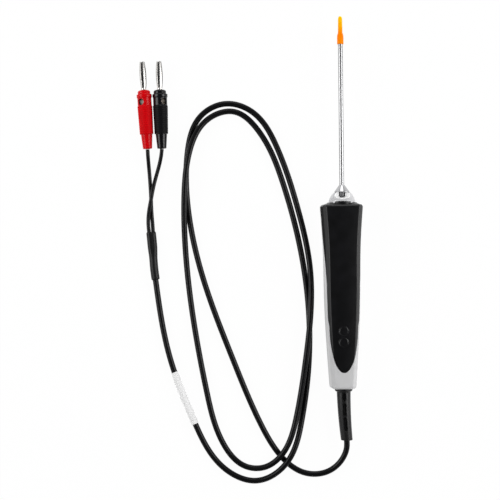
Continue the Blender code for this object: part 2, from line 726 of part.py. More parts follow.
def cable_saddle():
    """The bar across the cable inside the handle, with a half-round groove and two screw holes."""
    y = HEAD_Y - SADDLE_AT
    low = saddle_seat() + GAP
    top = CABLE_Z + CABLE_DIAMETER / 2 + GAP + SADDLE_TOP
    half = saddle_screw_x() + saddle_bore() / 2 + SADDLE_POST_WALL
    groove = CABLE_DIAMETER / 2 + GAP
    turn = np.linspace(0, math.pi, 9)
    outline = [(-groove * math.cos(a), CABLE_Z + groove * math.sin(a)) for a in turn]
    outline = [(u, max(v, low)) for u, v in outline]
    outline += [(half, low), (half, top - SADDLE_TOP / 2), (half - SADDLE_TOP / 2, top)]
    outline += [(SADDLE_TOP / 2 - half, top), (-half, top - SADDLE_TOP / 2), (-half, low)]
    saddle = prism("cable_saddle", outline, y - SADDLE_WIDTH / 2, y + SADDLE_WIDTH / 2, "y", shell_grey())
    radius, head = SADDLE_SCREW_DIAMETER / 2, SADDLE_HEAD_DIAMETER / 2
    for i, side in enumerate((-1, 1), 1):
        centre = (side * saddle_screw_x(), y)
        hole = saddle_bore() / 2
        bore = [(low - GAP, 0), (low - GAP, hole), (top + GAP, hole), (top + GAP, 0)]
        cut(saddle, turned(f"saddle_bore_{i}", bore, None, "z", centre, 12))
        seat = top + GAP
        profile = [(SHELL_WALL + 2 * GAP, 0), (SHELL_WALL + 2 * GAP + radius / 2, radius)]
        profile += [(seat, radius), (seat, head)]
        profile += [(seat + SADDLE_HEAD_HEIGHT * 0.6, head), (seat + SADDLE_HEAD_HEIGHT, head * 0.6)]
        profile += [(seat + SADDLE_HEAD_HEIGHT, 0)]
        turned(f"saddle_screw_{i}", profile, screw_steel(), "z", centre, 12)


def nose_inner(height):
    """Radius of the nose's outer wall at a height above the head face."""
    t = (height - NOSE_SHOULDER) / (NOSE_RIM_HEIGHT - NOSE_SHOULDER)
    straight = NOSE_BASE_DIAMETER / 2 + (NOSE_RIM_DIAMETER - NOSE_BASE_DIAMETER) / 2 * t
    return straight + 4 * NOSE_BULGE * t * (1 - t) * 1.6


def nose_body():
    """Silver-grey nose: a cup with windows round its rim, a web that carries the cone, a neck
    through the head wall and a flange that the two shells hold."""
    steps = np.linspace(NOSE_SHOULDER, NOSE_RIM_HEIGHT, 5)
    web_top = NOSE_WEB_HEIGHT + NOSE_WEB
    flange_top = -HEAD_WALL - GAP
    neck_bore = NUT_ACROSS_CORNERS / 2 + GAP
    stem_bore = STEM_DIAMETER / 2 + GAP
    profile = [(GAP, NOSE_BASE_DIAMETER / 2)] + [(h, nose_inner(h)) for h in steps]
    inner_steps = np.linspace(NOSE_RIM_HEIGHT, web_top, 3)
    profile += [(h, nose_inner(h) - NOSE_WALL) for h in inner_steps]
    profile += [(web_top, stem_bore), (NOSE_WEB_HEIGHT, stem_bore), (NOSE_WEB_HEIGHT, neck_bore)]
    profile += [(flange_top - NOSE_FLANGE, neck_bore), (flange_top - NOSE_FLANGE, NOSE_FLANGE_DIAMETER / 2)]
    profile += [(flange_top, NOSE_FLANGE_DIAMETER / 2), (flange_top, NOSE_NECK_DIAMETER / 2)]
    profile += [(GAP, NOSE_NECK_DIAMETER / 2)]
    profile = [(HEAD_Y + h, r) for h, r in profile]
    nose = turned("nose_body", profile, nose_silver(), centre=(0, PROBE_Z), sides=30, loop=True)
    for side in (-1, 1):
        ring = NOSE_BASE_DIAMETER / 2
        key = key_block(f"nose_key_{side}", side, ring - SOCKET_WALL, ring + GAP + SOCKET_WALL * 0.7, 0)
        add(nose, key)
    for i in range(WINDOW_COUNT):
        window = nose_window(f"nose_window_{i + 1}")
        window.location = (0, 0, PROBE_Z)
        window.rotation_euler = (0, 2 * math.pi * i / WINDOW_COUNT, 0)
        cut(nose, window)
    return nose


def nose_window(name):
    """Cutter for one window: half an ellipse that grows with its distance from the probe, so that
    the window's sides are radial."""
    turn = np.linspace(math.pi, 2 * math.pi, 8)
    rim, top = NOSE_RIM_DIAMETER / 2, HEAD_Y + NOSE_RIM_HEIGHT + WINDOW_DEPTH
    low = HEAD_Y + NOSE_RIM_HEIGHT
    rings = []
    for radius in (HUB_DIAMETER / 2 + GAP, NOSE_BASE_DIAMETER):
        half = WINDOW_WIDTH / 2 * radius / rim
        u = np.concatenate([half * np.cos(turn), (half, -half)])
        v = np.concatenate([low + WINDOW_DEPTH * np.sin(turn), (top, top)])
        rings.append(spaced_along("z", u, v, radius))
    return skin(name, rings, None)


def sheath_cone():
    """Turned steel cone on the sheath, with a hub that stands on the nose's web and a stem through it."""
    bore = SHEATH_DIAMETER / 2 + CLOSE
    base = NOSE_RIM_HEIGHT + GAP
    web_top = NOSE_WEB_HEIGHT + NOSE_WEB
    apex = base + CONE_LIP + CONE_HEIGHT
    stem_end = NOSE_WEB_HEIGHT - GAP - NUT_THICKNESS - GAP
    profile = [(apex, bore), (apex, bore + CONE_LIP * 1.6), (base + CONE_LIP, CONE_BASE_DIAMETER / 2)]
    profile += [(base, CONE_BASE_DIAMETER / 2), (base, HUB_DIAMETER / 2), (web_top + GAP, HUB_DIAMETER / 2)]
    profile += [(web_top + GAP, STEM_DIAMETER / 2), (stem_end, STEM_DIAMETER / 2), (stem_end, bore)]
    profile = [(HEAD_Y + h, r) for h, r in profile]
    return turned("sheath_cone", profile, stainless(), centre=(0, PROBE_Z), sides=24, loop=True)


def cone_nut():
    """Hexagon nut that pulls the cone down on the web."""
    high = HEAD_Y + NOSE_WEB_HEIGHT - GAP
    low = high - NUT_THICKNESS
    bore, corner = STEM_DIAMETER / 2 + CLOSE, NUT_ACROSS_CORNERS / 2
    edge = corner / 12
    blank = [(low, 0), (low, corner - edge), (low + edge / 2, corner), (high - edge / 2, corner)]
    blank += [(high, corner - edge), (high, 0)]
    nut = turned("cone_nut", blank, plated_brass(), centre=(0, PROBE_Z), sides=6)
    inner = [(low - bore, 0), (low - bore, bore), (high + bore, bore), (high + bore, 0)]
    return cut(nut, turned("cone_nut_bore", inner, centre=(0, PROBE_Z), sides=24))


def cone_apex_y():
    return HEAD_Y + NOSE_RIM_HEIGHT + GAP + CONE_LIP + CONE_HEIGHT


def sheath_tip_y():
    return cone_apex_y() + SHEATH_REACH


def sheath_tube():
    """Drawn steel tube, closed at its tip, which is drawn down to a smaller diameter."""
    tip, step, tail = sheath_tip_y(), sheath_tip_y() - TIP_LENGTH, HEAD_Y - SHEATH_TAIL
    radius, small = SHEATH_DIAMETER / 2, TIP_DIAMETER / 2
    inside, small_inside = radius - SHEATH_WALL, small - TIP_WALL
    drop = radius - small
    profile = [(tip, 0), (tip, small * 0.6), (tip - small * 0.5, small), (step, small)]
    profile += [(step - drop, radius), (tail, radius), (tail, inside)]
    profile += [(step - drop - SHEATH_WALL, inside), (step - SHEATH_WALL, small_inside)]
    profile += [(tip - TIP_WALL * 2, small_inside), (tip - TIP_WALL * 2, 0)]
    return turned("sheath_tube", profile, stainless(), centre=(0, PROBE_Z), sides=16)


def tip_cap():
    """Soft push-on cap: a slim body over the reduced tip, and a collar over the full sheath."""
    step = sheath_tip_y() - TIP_LENGTH
    bore, small_bore = SHEATH_DIAMETER / 2 + CLOSE, TIP_DIAMETER / 2 + CLOSE
    drop = (SHEATH_DIAMETER - TIP_DIAMETER) / 2
    mouth = step - CAP_COLLAR_LENGTH
    end = sheath_tip_y() + CLOSE
    top = end + CAP_END_WALL
    collar, body = bore + CAP_COLLAR_WALL, small_bore + CAP_BODY_WALL
    bead = CAP_COLLAR_WALL / 2
    profile = [(top, 0), (top, body * 0.45), (top - body * 0.3, body * 0.85), (step + drop, body)]
    profile += [(step + bead, body), (step, collar), (mouth + bead, collar), (mouth, collar - bead)]
    profile += [(mouth, bore), (step - drop, bore), (step + CLOSE, small_bore), (end, small_bore), (end, 0)]
    return turned("tip_cap", profile, cap_orange(), centre=(0, PROBE_Z), sides=16)


def element_top_y():
    return sheath_tip_y() - 2 * TIP_WALL - GAP


def rtd_element():
    """Ceramic sensing element in the sheath's tip."""
    top = element_top_y()
    low, radius = top - ELEMENT_LENGTH, ELEMENT_DIAMETER / 2
    profile = [(low, 0), (low, radius), (top - radius / 2, radius), (top, radius / 2), (top, 0)]
    return turned("rtd_element", profile, ceramic(), centre=(0, PROBE_Z), sides=12)


def splice_z():
    return (PROBE_Z + CABLE_Z) / 2


def splice_ends():
    """y of a splice sleeve's head end and cable end."""
    return HEAD_Y - SPLICE_AT, HEAD_Y - SPLICE_AT - SPLICE_LENGTH


def element_wires():
    """Two insulated wires, from the element down the sheath and out to the splices."""
    top, tail = element_top_y() - ELEMENT_LENGTH - GAP, HEAD_Y - SHEATH_TAIL
    near, far = ELEMENT_WIRE_SPREAD, SPLICE_SPREAD
    for i, side in enumerate((-1, 1), 1):
        end = splice_ends()[0] + GAP
        straight = [(side * near, top, PROBE_Z), (side * near, (top + tail) / 2, PROBE_Z)]
        first = HEAD_Y - HOUSING_SCREW_AT[0]
        route = [(side * near, tail, PROBE_Z), (side * near, tail - 0.0015, PROBE_Z)]
        route += [(side * far, first + 0.005, PROBE_Z), (side * far, first - 0.006, splice_z())]
        route += [(side * far, end, splice_z())]
        line = thinned(smooth_route(route, 0, 200), 9)
        cord(f"element_wire_{i}", np.concatenate([straight, line]), ELEMENT_WIRE, wire("white"), 1)


def splice_sleeves():
    """Shrink sleeves over the soldered joints."""
    head, end = splice_ends()
    radius, taper = SPLICE_DIAMETER / 2, SPLICE_DIAMETER / 2
    profile = [(end, 0), (end, radius * 0.55), (end + taper, radius), (head - taper, radius)]
    profile += [(head, radius * 0.45), (head, 0)]
    for i, side in enumerate((-1, 1), 1):
        turned(f"splice_sleeve_{i}", profile, rubber_black(), "y", (side * SPLICE_SPREAD, splice_z()), 12)


def cable_cores():
    """The cable's two cores, from its stripped end round the second boss to the splices."""
    start, end = HEAD_Y - STUB_END_AT + GAP, splice_ends()[1] - GAP
    second = HEAD_Y - HOUSING_SCREW_AT[1]
    for side, colour in ((-1, "red"), (1, "black")):
        route = [(side * CORE_SPREAD, start, CABLE_Z), (side * CORE_SPREAD * 1.3, start + 0.0015, CABLE_Z)]
        route += [(side * SPLICE_SPREAD, second - 0.0035, CABLE_Z)]
        route += [(side * SPLICE_SPREAD, second + 0.006, splice_z())]
        route += [(side * SPLICE_SPREAD, end, splice_z())]
        line = thinned(smooth_route(route, 0, 200), 10)
        cord(f"cable_core_{colour}", line, CORE_DIAMETER, wire(colour), 1)


def boot_set(distance):
    """How far the boot and the cable in it have leaned and sagged at distances past the end face."""
    share = np.clip(np.asarray(distance) / BOOT_LENGTH, 0, None)
    return BOOT_LEAN * share**2, -BOOT_SAG * share**2


def cable_stub():
    """The cable inside the handle and the boot."""
    end = BOOT_LENGTH - GAP / 2
    beyond = np.linspace(0, end, 7)
    lean, sag = boot_set(beyond)
    inside = [(0, HEAD_Y - STUB_END_AT, CABLE_Z)]
    outside = np.stack([lean, END_Y - beyond, CABLE_Z + sag], axis=1)
    return cord("cable_stub", np.concatenate([inside, outside]), CABLE_DIAMETER, jacket_black(), 3)


def cable_boot():
    """Rubber boot: a flange on each side of the end wall, and a slotted taper over the cable."""
    bore = CABLE_DIAMETER / 2 + GAP
    neck, root, tip = BOOT_ROOT_DIAMETER / 2, BOOT_ROOT_DIAMETER / 2, BOOT_TIP_DIAMETER / 2
    flange = BOOT_FLANGE_DIAMETER / 2
    inner_face = -END_WALL - GAP
    edge = BOOT_FLANGE / 3
    profile = [(inner_face - BOOT_FLANGE, bore), (inner_face - BOOT_FLANGE, flange - edge)]
    profile += [(inner_face - edge, flange), (inner_face, flange), (inner_face, neck), (GAP, neck)]
    profile += [(GAP, flange - edge), (GAP + edge, flange)]
    profile += [(BOOT_FLANGE, flange - edge), (BOOT_FLANGE + edge, root)]
    taper = np.linspace(BOOT_FLANGE + edge, BOOT_LENGTH - edge * 1.5, 6)[1:]
    share = (taper - taper[0]) / (BOOT_LENGTH - taper[0])
    profile += [(d, root + (tip - root) * t) for d, t in zip(taper, share)]
    profile += [(BOOT_LENGTH, tip - edge * 1.5), (BOOT_LENGTH, bore)]
    profile += [(d, bore) for d in np.linspace(BOOT_LENGTH, 0, 5)[1:]]
    profile = [(END_Y - d, r) for d, r in profile]
    boot = turned("cable_boot", profile, rubber_black(), centre=(0, CABLE_Z), sides=16, loop=True)
    for i, (start, end) in enumerate(BOOT_SLOTS, 1):
        near = root + (tip - root) * (start + end) / 2 / BOOT_LENGTH
        outline = stadium(BOOT_SLOT_WIDTH, END_Y - end, END_Y - start)
        bottom = near - BOOT_SLOT_DEPTH
        cut(boot, prism(f"boot_slot_front_{i}", outline, CABLE_Z + bottom, CABLE_Z + 2 * root))
        cut(boot, prism(f"boot_slot_back_{i}", outline, CABLE_Z - 2 * root, CABLE_Z - bottom))
    bake(boot)
    for point in boot.data.vertices:
        lean, sag = boot_set(END_Y - point.co.y)
        point.co.x += lean
        point.co.z += sag
    return boot


def cable_points():
    """The cable outside the boot, its first stretch in line with the boot's end."""
    line = smooth_route(CABLE_ROUTE, CABLE_DIAMETER / 2 + FLOOR_CLEARANCE)
    return np.insert(thinned(line, CABLE_POINTS), 1, CABLE_ROUTE[1], axis=0)


def free_cable():
    return cord("cable", cable_points(), CABLE_DIAMETER, jacket_black())


def marker_sleeve():
    """Thin white sleeve shrunk on the cable, which it follows bend by bend."""
    points = cable_points()
    length = lengths_along(points)
    start, end = MARKER_START, MARKER_START + MARKER_LENGTH
    at = np.sort(np.concatenate([np.linspace(start, end, 4), length[(length > start) & (length < end)]]))
    line = np.stack([np.interp(at, length, points[:, k]) for k in range(3)], axis=1)
    bore = CABLE_DIAMETER / 2 + MARKER_FIT
    outer = rings_along(line, [oval(bore + MARKER_WALL, bore + MARKER_WALL, 12)] * len(line))
    inner = rings_along(line, [oval(bore, bore, 12)] * len(line))
    return skin("marker_sleeve", outer + inner[::-1], marker_white(), loop=True)


def y_sleeve():
    """Shrink sleeve over the fork: round on the cable, and an oval over the two leads."""
    line = smooth_route(Y_SLEEVE_ROUTE, 0, 9)
    share = np.linspace(0, 1, len(line))
    widen = np.clip((share - Y_SLEEVE_SHOULDER + 0.1) / 0.2, 0, 1)
    narrow = CABLE_DIAMETER / 2 + Y_SLEEVE_WALL
    height = np.full(len(line), narrow)
    width = narrow + (Y_SLEEVE_WIDTH / 2 - narrow) * widen
    width[[0, -1]] -= Y_SLEEVE_WALL / 2
    height[[0, -1]] -= Y_SLEEVE_WALL / 2
    sections = [oval(w, h, 14) for w, h in zip(width, height)]
    return skin("y_sleeve", rings_along(line, sections), rubber_black())


def leads():
    lowest = LEAD_DIAMETER / 2 + FLOOR_CLEARANCE
    for colour, route in (("red", RED_LEAD_ROUTE), ("black", BLACK_LEAD_ROUTE)):
        line = smooth_route(route, lowest, 300)
        cord(f"lead_{colour}", thinned(line, LEAD_POINTS), LEAD_DIAMETER, jacket_black())


def plug_sleeve(colour):
    """Moulded plug body: smooth tail, ribbed grip, barrel with the cross hole, collar and nose."""
    lead_bore = LEAD_DIAMETER / 2 + GAP
    chamber = PLUG_CORE_DIAMETER / 2 + GAP
    lip = PLUG_BOSS_DIAMETER / 2 + GAP
    tail, root = PLUG_TAIL_DIAMETER / 2, PLUG_TAIL_ROOT_DIAMETER / 2
    edge = 0.0006
    profile = [(0, lead_bore), (0, tail - edge), (edge, tail), (PLUG_TAIL_LENGTH, root)]
    pitch = GRIP_LENGTH / GRIP_RIBS
    for i in range(GRIP_RIBS):
        at = PLUG_TAIL_LENGTH + i * pitch
        grow = (i + 0.5) / GRIP_RIBS
        crest = (GRIP_ROOT_DIAMETER + (GRIP_TOP_DIAMETER - GRIP_ROOT_DIAMETER) * grow) / 2
        profile += [(at + 0.15 * pitch, crest - RIB_DEPTH), (at + 0.6 * pitch, crest)]
    grip_end = PLUG_TAIL_LENGTH + GRIP_LENGTH
    barrel, collar = BARREL_DIAMETER / 2, COLLAR_DIAMETER / 2
    shoulder, nose = SHOULDER_DIAMETER / 2, NOSE_OF_PLUG_DIAMETER / 2
    profile += [(grip_end, GRIP_TOP_DIAMETER / 2), (grip_end + edge / 2, barrel)]
    profile += [(COLLAR_AT - edge / 2, barrel)]
    profile += [(COLLAR_AT, collar), (COLLAR_AT + COLLAR_WIDTH - edge, collar)]
    profile += [(COLLAR_AT + COLLAR_WIDTH, shoulder), (PLUG_LENGTH - edge * 2, shoulder * 0.97)]
    profile += [(PLUG_LENGTH, nose), (PLUG_LENGTH, lip), (PLUG_CORE_END + GAP, lip)]
    profile += [(PLUG_CORE_END + GAP, chamber), (PLUG_CORE_AT - GAP, chamber)]
    profile += [(PLUG_CORE_AT - GAP, lead_bore)]
    sleeve = turned(f"plug_{colour}_sleeve", profile, plug_plastic(colour), sides=14, loop=True)
    return cut(sleeve, cross_hole(f"plug_{colour}_sleeve_cross", CROSS_HOLE_DIAMETER / 2 + CLOSE))


def cross_hole(name, radius):
    reach = COLLAR_DIAMETER
    profile = [(-reach, 0), (-reach, radius), (reach, radius), (reach, 0)]
    return turned(name, profile, None, "z", (0, CROSS_HOLE_AT), 16)


def plug_core(colour):
    """Turned brass core: a blind bore for the wire, the cross socket, and a boss that holds the pin."""
    radius, boss_radius = PLUG_CORE_DIAMETER / 2, PLUG_BOSS_DIAMETER / 2
    wire_bore = LEAD_DIAMETER / 2 + GAP
    root_bore = PLUG_ROOT_DIAMETER / 2 + CLOSE
    depth = WIRE_SCREW_AT + WIRE_SCREW_DIAMETER * 1.6
    pin_floor = PLUG_LENGTH + GAP - PLUG_ROOT_LENGTH
    profile = [(depth, 0), (depth, wire_bore), (PLUG_CORE_AT, wire_bore), (PLUG_CORE_AT, radius)]
    profile += [(PLUG_CORE_END, radius), (PLUG_CORE_END, boss_radius), (PLUG_LENGTH, boss_radius)]
    profile += [(PLUG_LENGTH, root_bore), (pin_floor - GAP, root_bore), (pin_floor - GAP, 0)]
    core = turned(f"plug_{colour}_core", profile, plated_brass(), sides=16)
    cut(core, cross_hole(f"plug_{colour}_core_cross", CROSS_HOLE_DIAMETER / 2))
    screw_bore_radius = WIRE_SCREW_DIAMETER / 2 + CLOSE
    bore = [(0, 0), (0, screw_bore_radius), (2 * radius, screw_bore_radius), (2 * radius, 0)]
    return cut(core, turned(f"plug_{colour}_core_tap", bore, None, "z", (0, WIRE_SCREW_AT), 12))


def plug_wire_screw(colour):
    low, high = LEAD_DIAMETER / 2 + CLOSE, PLUG_CORE_DIAMETER / 2
    radius = WIRE_SCREW_DIAMETER / 2
    profile = [(low, 0), (low, radius * 0.7), (low + radius * 0.3, radius), (high, radius), (high, 0)]
    return turned(f"plug_{colour}_wire_screw", profile, screw_steel(), "z", (0, WIRE_SCREW_AT), 12)


def plug_wire(colour):
    """The end of the lead inside the plug."""
    radius = LEAD_DIAMETER / 2
    end = WIRE_SCREW_AT + WIRE_SCREW_DIAMETER * 1.6 - GAP
    profile = [(GAP, 0), (GAP, radius), (end, radius), (end, 0)]
    return turned(f"plug_{colour}_lead_end", profile, jacket_black(), sides=12)


def plug_pin(colour):
    """Spring pin: a root and a base ring, with bowed strips round a hollow."""
    neck = PIN_NECK_DIAMETER / 2
    base, root = PLUG_LENGTH + GAP, PLUG_ROOT_DIAMETER / 2
    profile = [(base - PLUG_ROOT_LENGTH, 0), (base - PLUG_ROOT_LENGTH, root), (base, root), (base, neck)]
    profile += [(base + 0.0009, neck), (base + 0.0012, neck - PIN_STRIP / 2), (base + 0.0012, 0)]
    pin = turned(f"plug_{colour}_pin", profile, plated_brass(), sides=12)
    start = base + 0.0006
    for i in range(PIN_STRIPS):
        middle = 2 * math.pi * (i + 0.5) / PIN_STRIPS
        add(pin, pin_strip(f"plug_{colour}_strip_{i + 1}", start, base + PIN_LENGTH, middle))
    return pin


def pin_strip(name, start, end, middle):
    """One strip: an arc in section, bowed out between its ends like half a sine wave."""
    spread = PIN_STRIP_SHARE * math.pi / PIN_STRIPS
    angle = middle + np.linspace(-spread, spread, 3)
    narrow = PIN_NECK_DIAMETER / 2 - PIN_STRIP / 4
    rings = []
    for t in np.linspace(0, 1, 7):
        outer = narrow + (PIN_BOW_DIAMETER / 2 - narrow) * math.sin(math.pi * t) ** 0.8
        inner = outer - PIN_STRIP
        u = np.concatenate([outer * np.sin(angle), inner * np.sin(angle[::-1])])
        v = np.concatenate([outer * np.cos(angle), inner * np.cos(angle[::-1])])
        rings.append(spaced_along("y", u, v, start + (end - start) * t))
    return skin(name, rings, None)


def plugs():
    """Each plug hangs from an empty at its tail, which lays it down, turns it and rolls it."""
    for colour, ((x, y), heading, roll) in PLUGS.items():
        seat = bpy.data.objects.new(f"plug_{colour}_seat", None)
        bpy.context.scene.collection.objects.link(seat)
        seat.location = (x, y, COLLAR_DIAMETER / 2 + FLOOR_CLEARANCE)
        seat.rotation_euler = (0, roll, heading)
        pieces = [plug_sleeve(colour), plug_core(colour), plug_wire_screw(colour)]
        pieces += [plug_wire(colour), plug_pin(colour)]
        for piece in pieces:
            tools = [step.object for step in piece.modifiers if step.type == "BOOLEAN"]
            for laid in [piece] + tools:
                laid.parent = seat


def main():
    clear_scene()
    rear_shell()
    front_cover()
    housing_screws()
    cable_saddle()
    nose_body()
    sheath_cone()
    cone_nut()
    sheath_tube()
    tip_cap()
    rtd_element()
    element_wires()
    splice_sleeves()
    cable_cores()
    cable_stub()
    cable_boot()
    free_cable()
    marker_sleeve()
    y_sleeve()
    leads()
    plugs()


main()
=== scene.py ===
# A resistance temperature probe, lying on the back of its handle with its cable in two loops.
# The imported solids come first, before they are dressed.
import math

import bmesh
import bpy
import numpy as np
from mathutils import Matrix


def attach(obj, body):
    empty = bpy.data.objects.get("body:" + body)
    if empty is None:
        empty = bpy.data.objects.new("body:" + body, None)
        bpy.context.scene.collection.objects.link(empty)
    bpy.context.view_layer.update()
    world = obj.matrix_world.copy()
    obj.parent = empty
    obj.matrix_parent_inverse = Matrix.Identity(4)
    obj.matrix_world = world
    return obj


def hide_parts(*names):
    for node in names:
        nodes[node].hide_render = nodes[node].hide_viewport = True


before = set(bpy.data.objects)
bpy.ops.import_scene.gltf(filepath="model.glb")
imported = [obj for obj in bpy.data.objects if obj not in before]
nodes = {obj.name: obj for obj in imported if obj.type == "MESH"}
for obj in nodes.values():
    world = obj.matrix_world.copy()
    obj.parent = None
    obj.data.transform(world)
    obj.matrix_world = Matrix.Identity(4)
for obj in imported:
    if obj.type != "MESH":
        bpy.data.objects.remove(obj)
scene = bpy.context.scene
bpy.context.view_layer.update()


# The studio: a camera straight above, as in the photograph, over a white table under a dark
# ceiling. Soft boxes light from both sides and from past the tip, so a flat black top stays black
# and its edges shine.
scene.view_settings.view_transform = "Standard"

eye = bpy.data.cameras.new("camera")
eye.sensor_width = 36
eye.lens = 99.5
eye.clip_start, eye.clip_end = 0.01, 10
camera = bpy.data.objects.new("camera", eye)
camera.location = (-0.05948, 0.03066, 0.9)
camera.rotation_euler = (0, 0, math.radians(-0.6))
scene.collection.objects.link(camera)
scene.camera = camera


def set_ramp(ramp, stops):
    """Sets a colour ramp to its stops, each a position and a colour, from the first to the last."""
    for element, (at, colour) in zip(ramp.elements, (stops[0], stops[-1])):
        element.position, element.color = at, (*colour, 1)
    for at, colour in stops[1:-1]:
        ramp.elements.new(at).color = (*colour, 1)


# The sky's level falls with height, from white at the horizon to nearly black overhead.
sky_levels = ((0.0, 1.0), (0.10, 0.75), (0.25, 0.30), (0.70, 0.14), (0.96, 0.02))
world = bpy.data.worlds.new("studio")
scene.world = world
world.use_nodes = True
sky = world.node_tree
sky.nodes.clear()
direction = sky.nodes.new("ShaderNodeTexCoord")
height = sky.nodes.new("ShaderNodeSeparateXYZ")
fade = sky.nodes.new("ShaderNodeValToRGB")
set_ramp(fade.color_ramp, [(at, (level, level, level)) for at, level in sky_levels])
room = sky.nodes.new("ShaderNodeBackground")
out = sky.nodes.new("ShaderNodeOutputWorld")
sky.links.new(direction.outputs["Generated"], height.inputs[0])
sky.links.new(height.outputs["Z"], fade.inputs[0])
sky.links.new(fade.outputs[0], room.inputs["Color"])
sky.links.new(room.outputs[0], out.inputs[0])

lit_place = np.array((-0.06, 0.03, 0.0))
for name, place, size, power in (
    ("soft_box_right", (1.10, 0.10, 0.80), 0.85, 15.0),
    ("soft_box_left", (-1.20, 0.15, 0.80), 0.85, 13.0),
    ("soft_box_head", (-0.05, 1.30, 0.60), 0.80, 5.0),
):
    lamp = bpy.data.lights.new(name, "AREA")
    lamp.size = size
    lamp.energy = power
    box = bpy.data.objects.new(name, lamp)
    box.location = place
    aim = lit_place - np.array(place)
    tilt = math.acos(-aim[2] / np.linalg.norm(aim))
    box.rotation_euler = (tilt, 0, math.atan2(aim[1], aim[0]) - math.pi / 2)
    scene.collection.objects.link(box)

# The table is painted for the light that falls on it, and glows nearly white where the camera, a
# reflection or a clear piece looks at it. A little paint is left in, for the shadows.
table_z, table_half, table_glow = -0.0002, 3, 0.97
table = bpy.data.meshes.new("table")
corners = [
    (x * table_half, y * table_half, table_z) for x, y in ((-1, -1), (1, -1), (1, 1), (-1, 1))
]
table.from_pydata(corners, [], [(0, 1, 2, 3)])
table_top = bpy.data.objects.new("table", table)
scene.collection.objects.link(table_top)
table_white = bpy.data.materials.new("table_white")
table_white.use_nodes = True
tree = table_white.node_tree
paint = tree.nodes["Principled BSDF"]
paint.inputs["Base Color"].default_value = (0.95, 0.95, 0.95, 1)
paint.inputs["Roughness"].default_value = 0.9
paint.inputs["Specular IOR Level"].default_value = 0.0
glow = tree.nodes.new("ShaderNodeEmission")
ray = tree.nodes.new("ShaderNodeLightPath")
either, any_ray, share = (tree.nodes.new("ShaderNodeMath") for _ in range(3))
either.operation = any_ray.operation = "MAXIMUM"
share.operation = "MULTIPLY"
share.inputs[1].default_value = table_glow
both = tree.nodes.new("ShaderNodeMixShader")
tree.links.new(ray.outputs["Is Camera Ray"], either.inputs[0])
tree.links.new(ray.outputs["Is Glossy Ray"], either.inputs[1])
tree.links.new(either.outputs[0], any_ray.inputs[0])
tree.links.new(ray.outputs["Is Transmission Ray"], any_ray.inputs[1])
tree.links.new(any_ray.outputs[0], share.inputs[0])
tree.links.new(share.outputs[0], both.inputs[0])
tree.links.new(paint.outputs[0], both.inputs[1])
tree.links.new(glow.outputs[0], both.inputs[2])
tree.links.new(both.outputs[0], tree.nodes["Material Output"].inputs[0])
table.materials.append(table_white)


# The cable: 1.27 m of round black jacket with a satin skin, from the boot to the Y sleeve. It lies
# in two loops, and a long low hump carries it over itself at each crossing.
def spline(knots, values, at):
    """A curve through values at knots. Each stretch is a cubic, the bends at the knots solve for
    an unbroken slope, and there is no bend at either end."""
    knots, values, at = (np.asarray(given, float) for given in (knots, values, at))
    step = np.diff(knots)
    slope = np.diff(values, axis=0) / step[:, None]
    inner = np.arange(1, len(knots) - 1)
    system = np.eye(len(knots))
    system[inner, inner - 1], system[inner, inner] = step[:-1], 2 * (step[:-1] + step[1:])
    system[inner, inner + 1] = step[1:]
    wanted = np.zeros_like(values)
    wanted[1:-1] = 6 * np.diff(slope, axis=0)
    bend = np.linalg.solve(system, wanted)
    i = np.clip(np.searchsorted(knots, at, side="right") - 1, 0, len(knots) - 2)
    ahead = ((at - knots[i]) / step[i])[:, None]
    behind = 1 - ahead
    sway = (behind**3 - behind) * bend[i] + (ahead**3 - ahead) * bend[i + 1]
    return behind * values[i] + ahead * values[i + 1] + step[i][:, None] ** 2 / 6 * sway


def run_of(points):
    """Distance from the first point to each point, along the line through them."""
    return np.concatenate([[0], np.cumsum(np.linalg.norm(np.diff(points, axis=0), axis=1))])


def laid(route, lowest, spacing):
    """The smooth curve through a route, as points at one spacing, none of them below lowest."""
    route = np.array(route, float)
    knots = run_of(route)
    line = spline(knots, route, np.linspace(0, knots[-1], 4000))
    line[:, 2] = np.maximum(line[:, 2], lowest)
    length = run_of(line)
    at = np.linspace(0, length[-1], int(length[-1] / spacing) + 2)
    return np.stack([np.interp(at, length, line[:, k]) for k in range(3)], axis=1)


def around(line, side, up):
    """A grid of points round a line: at each of its points, side and up give the offsets across
    it and above it, so one row of the grid is one section."""
    ahead = np.gradient(line, axis=0)
    ahead /= np.linalg.norm(ahead, axis=1)[:, None]
    across = np.cross(ahead, (0, 0, 1))
    across /= np.linalg.norm(across, axis=1)[:, None]
    above = np.cross(across, ahead)
    return line[:, None] + side[..., None] * across[:, None] + up[..., None] * above[:, None]


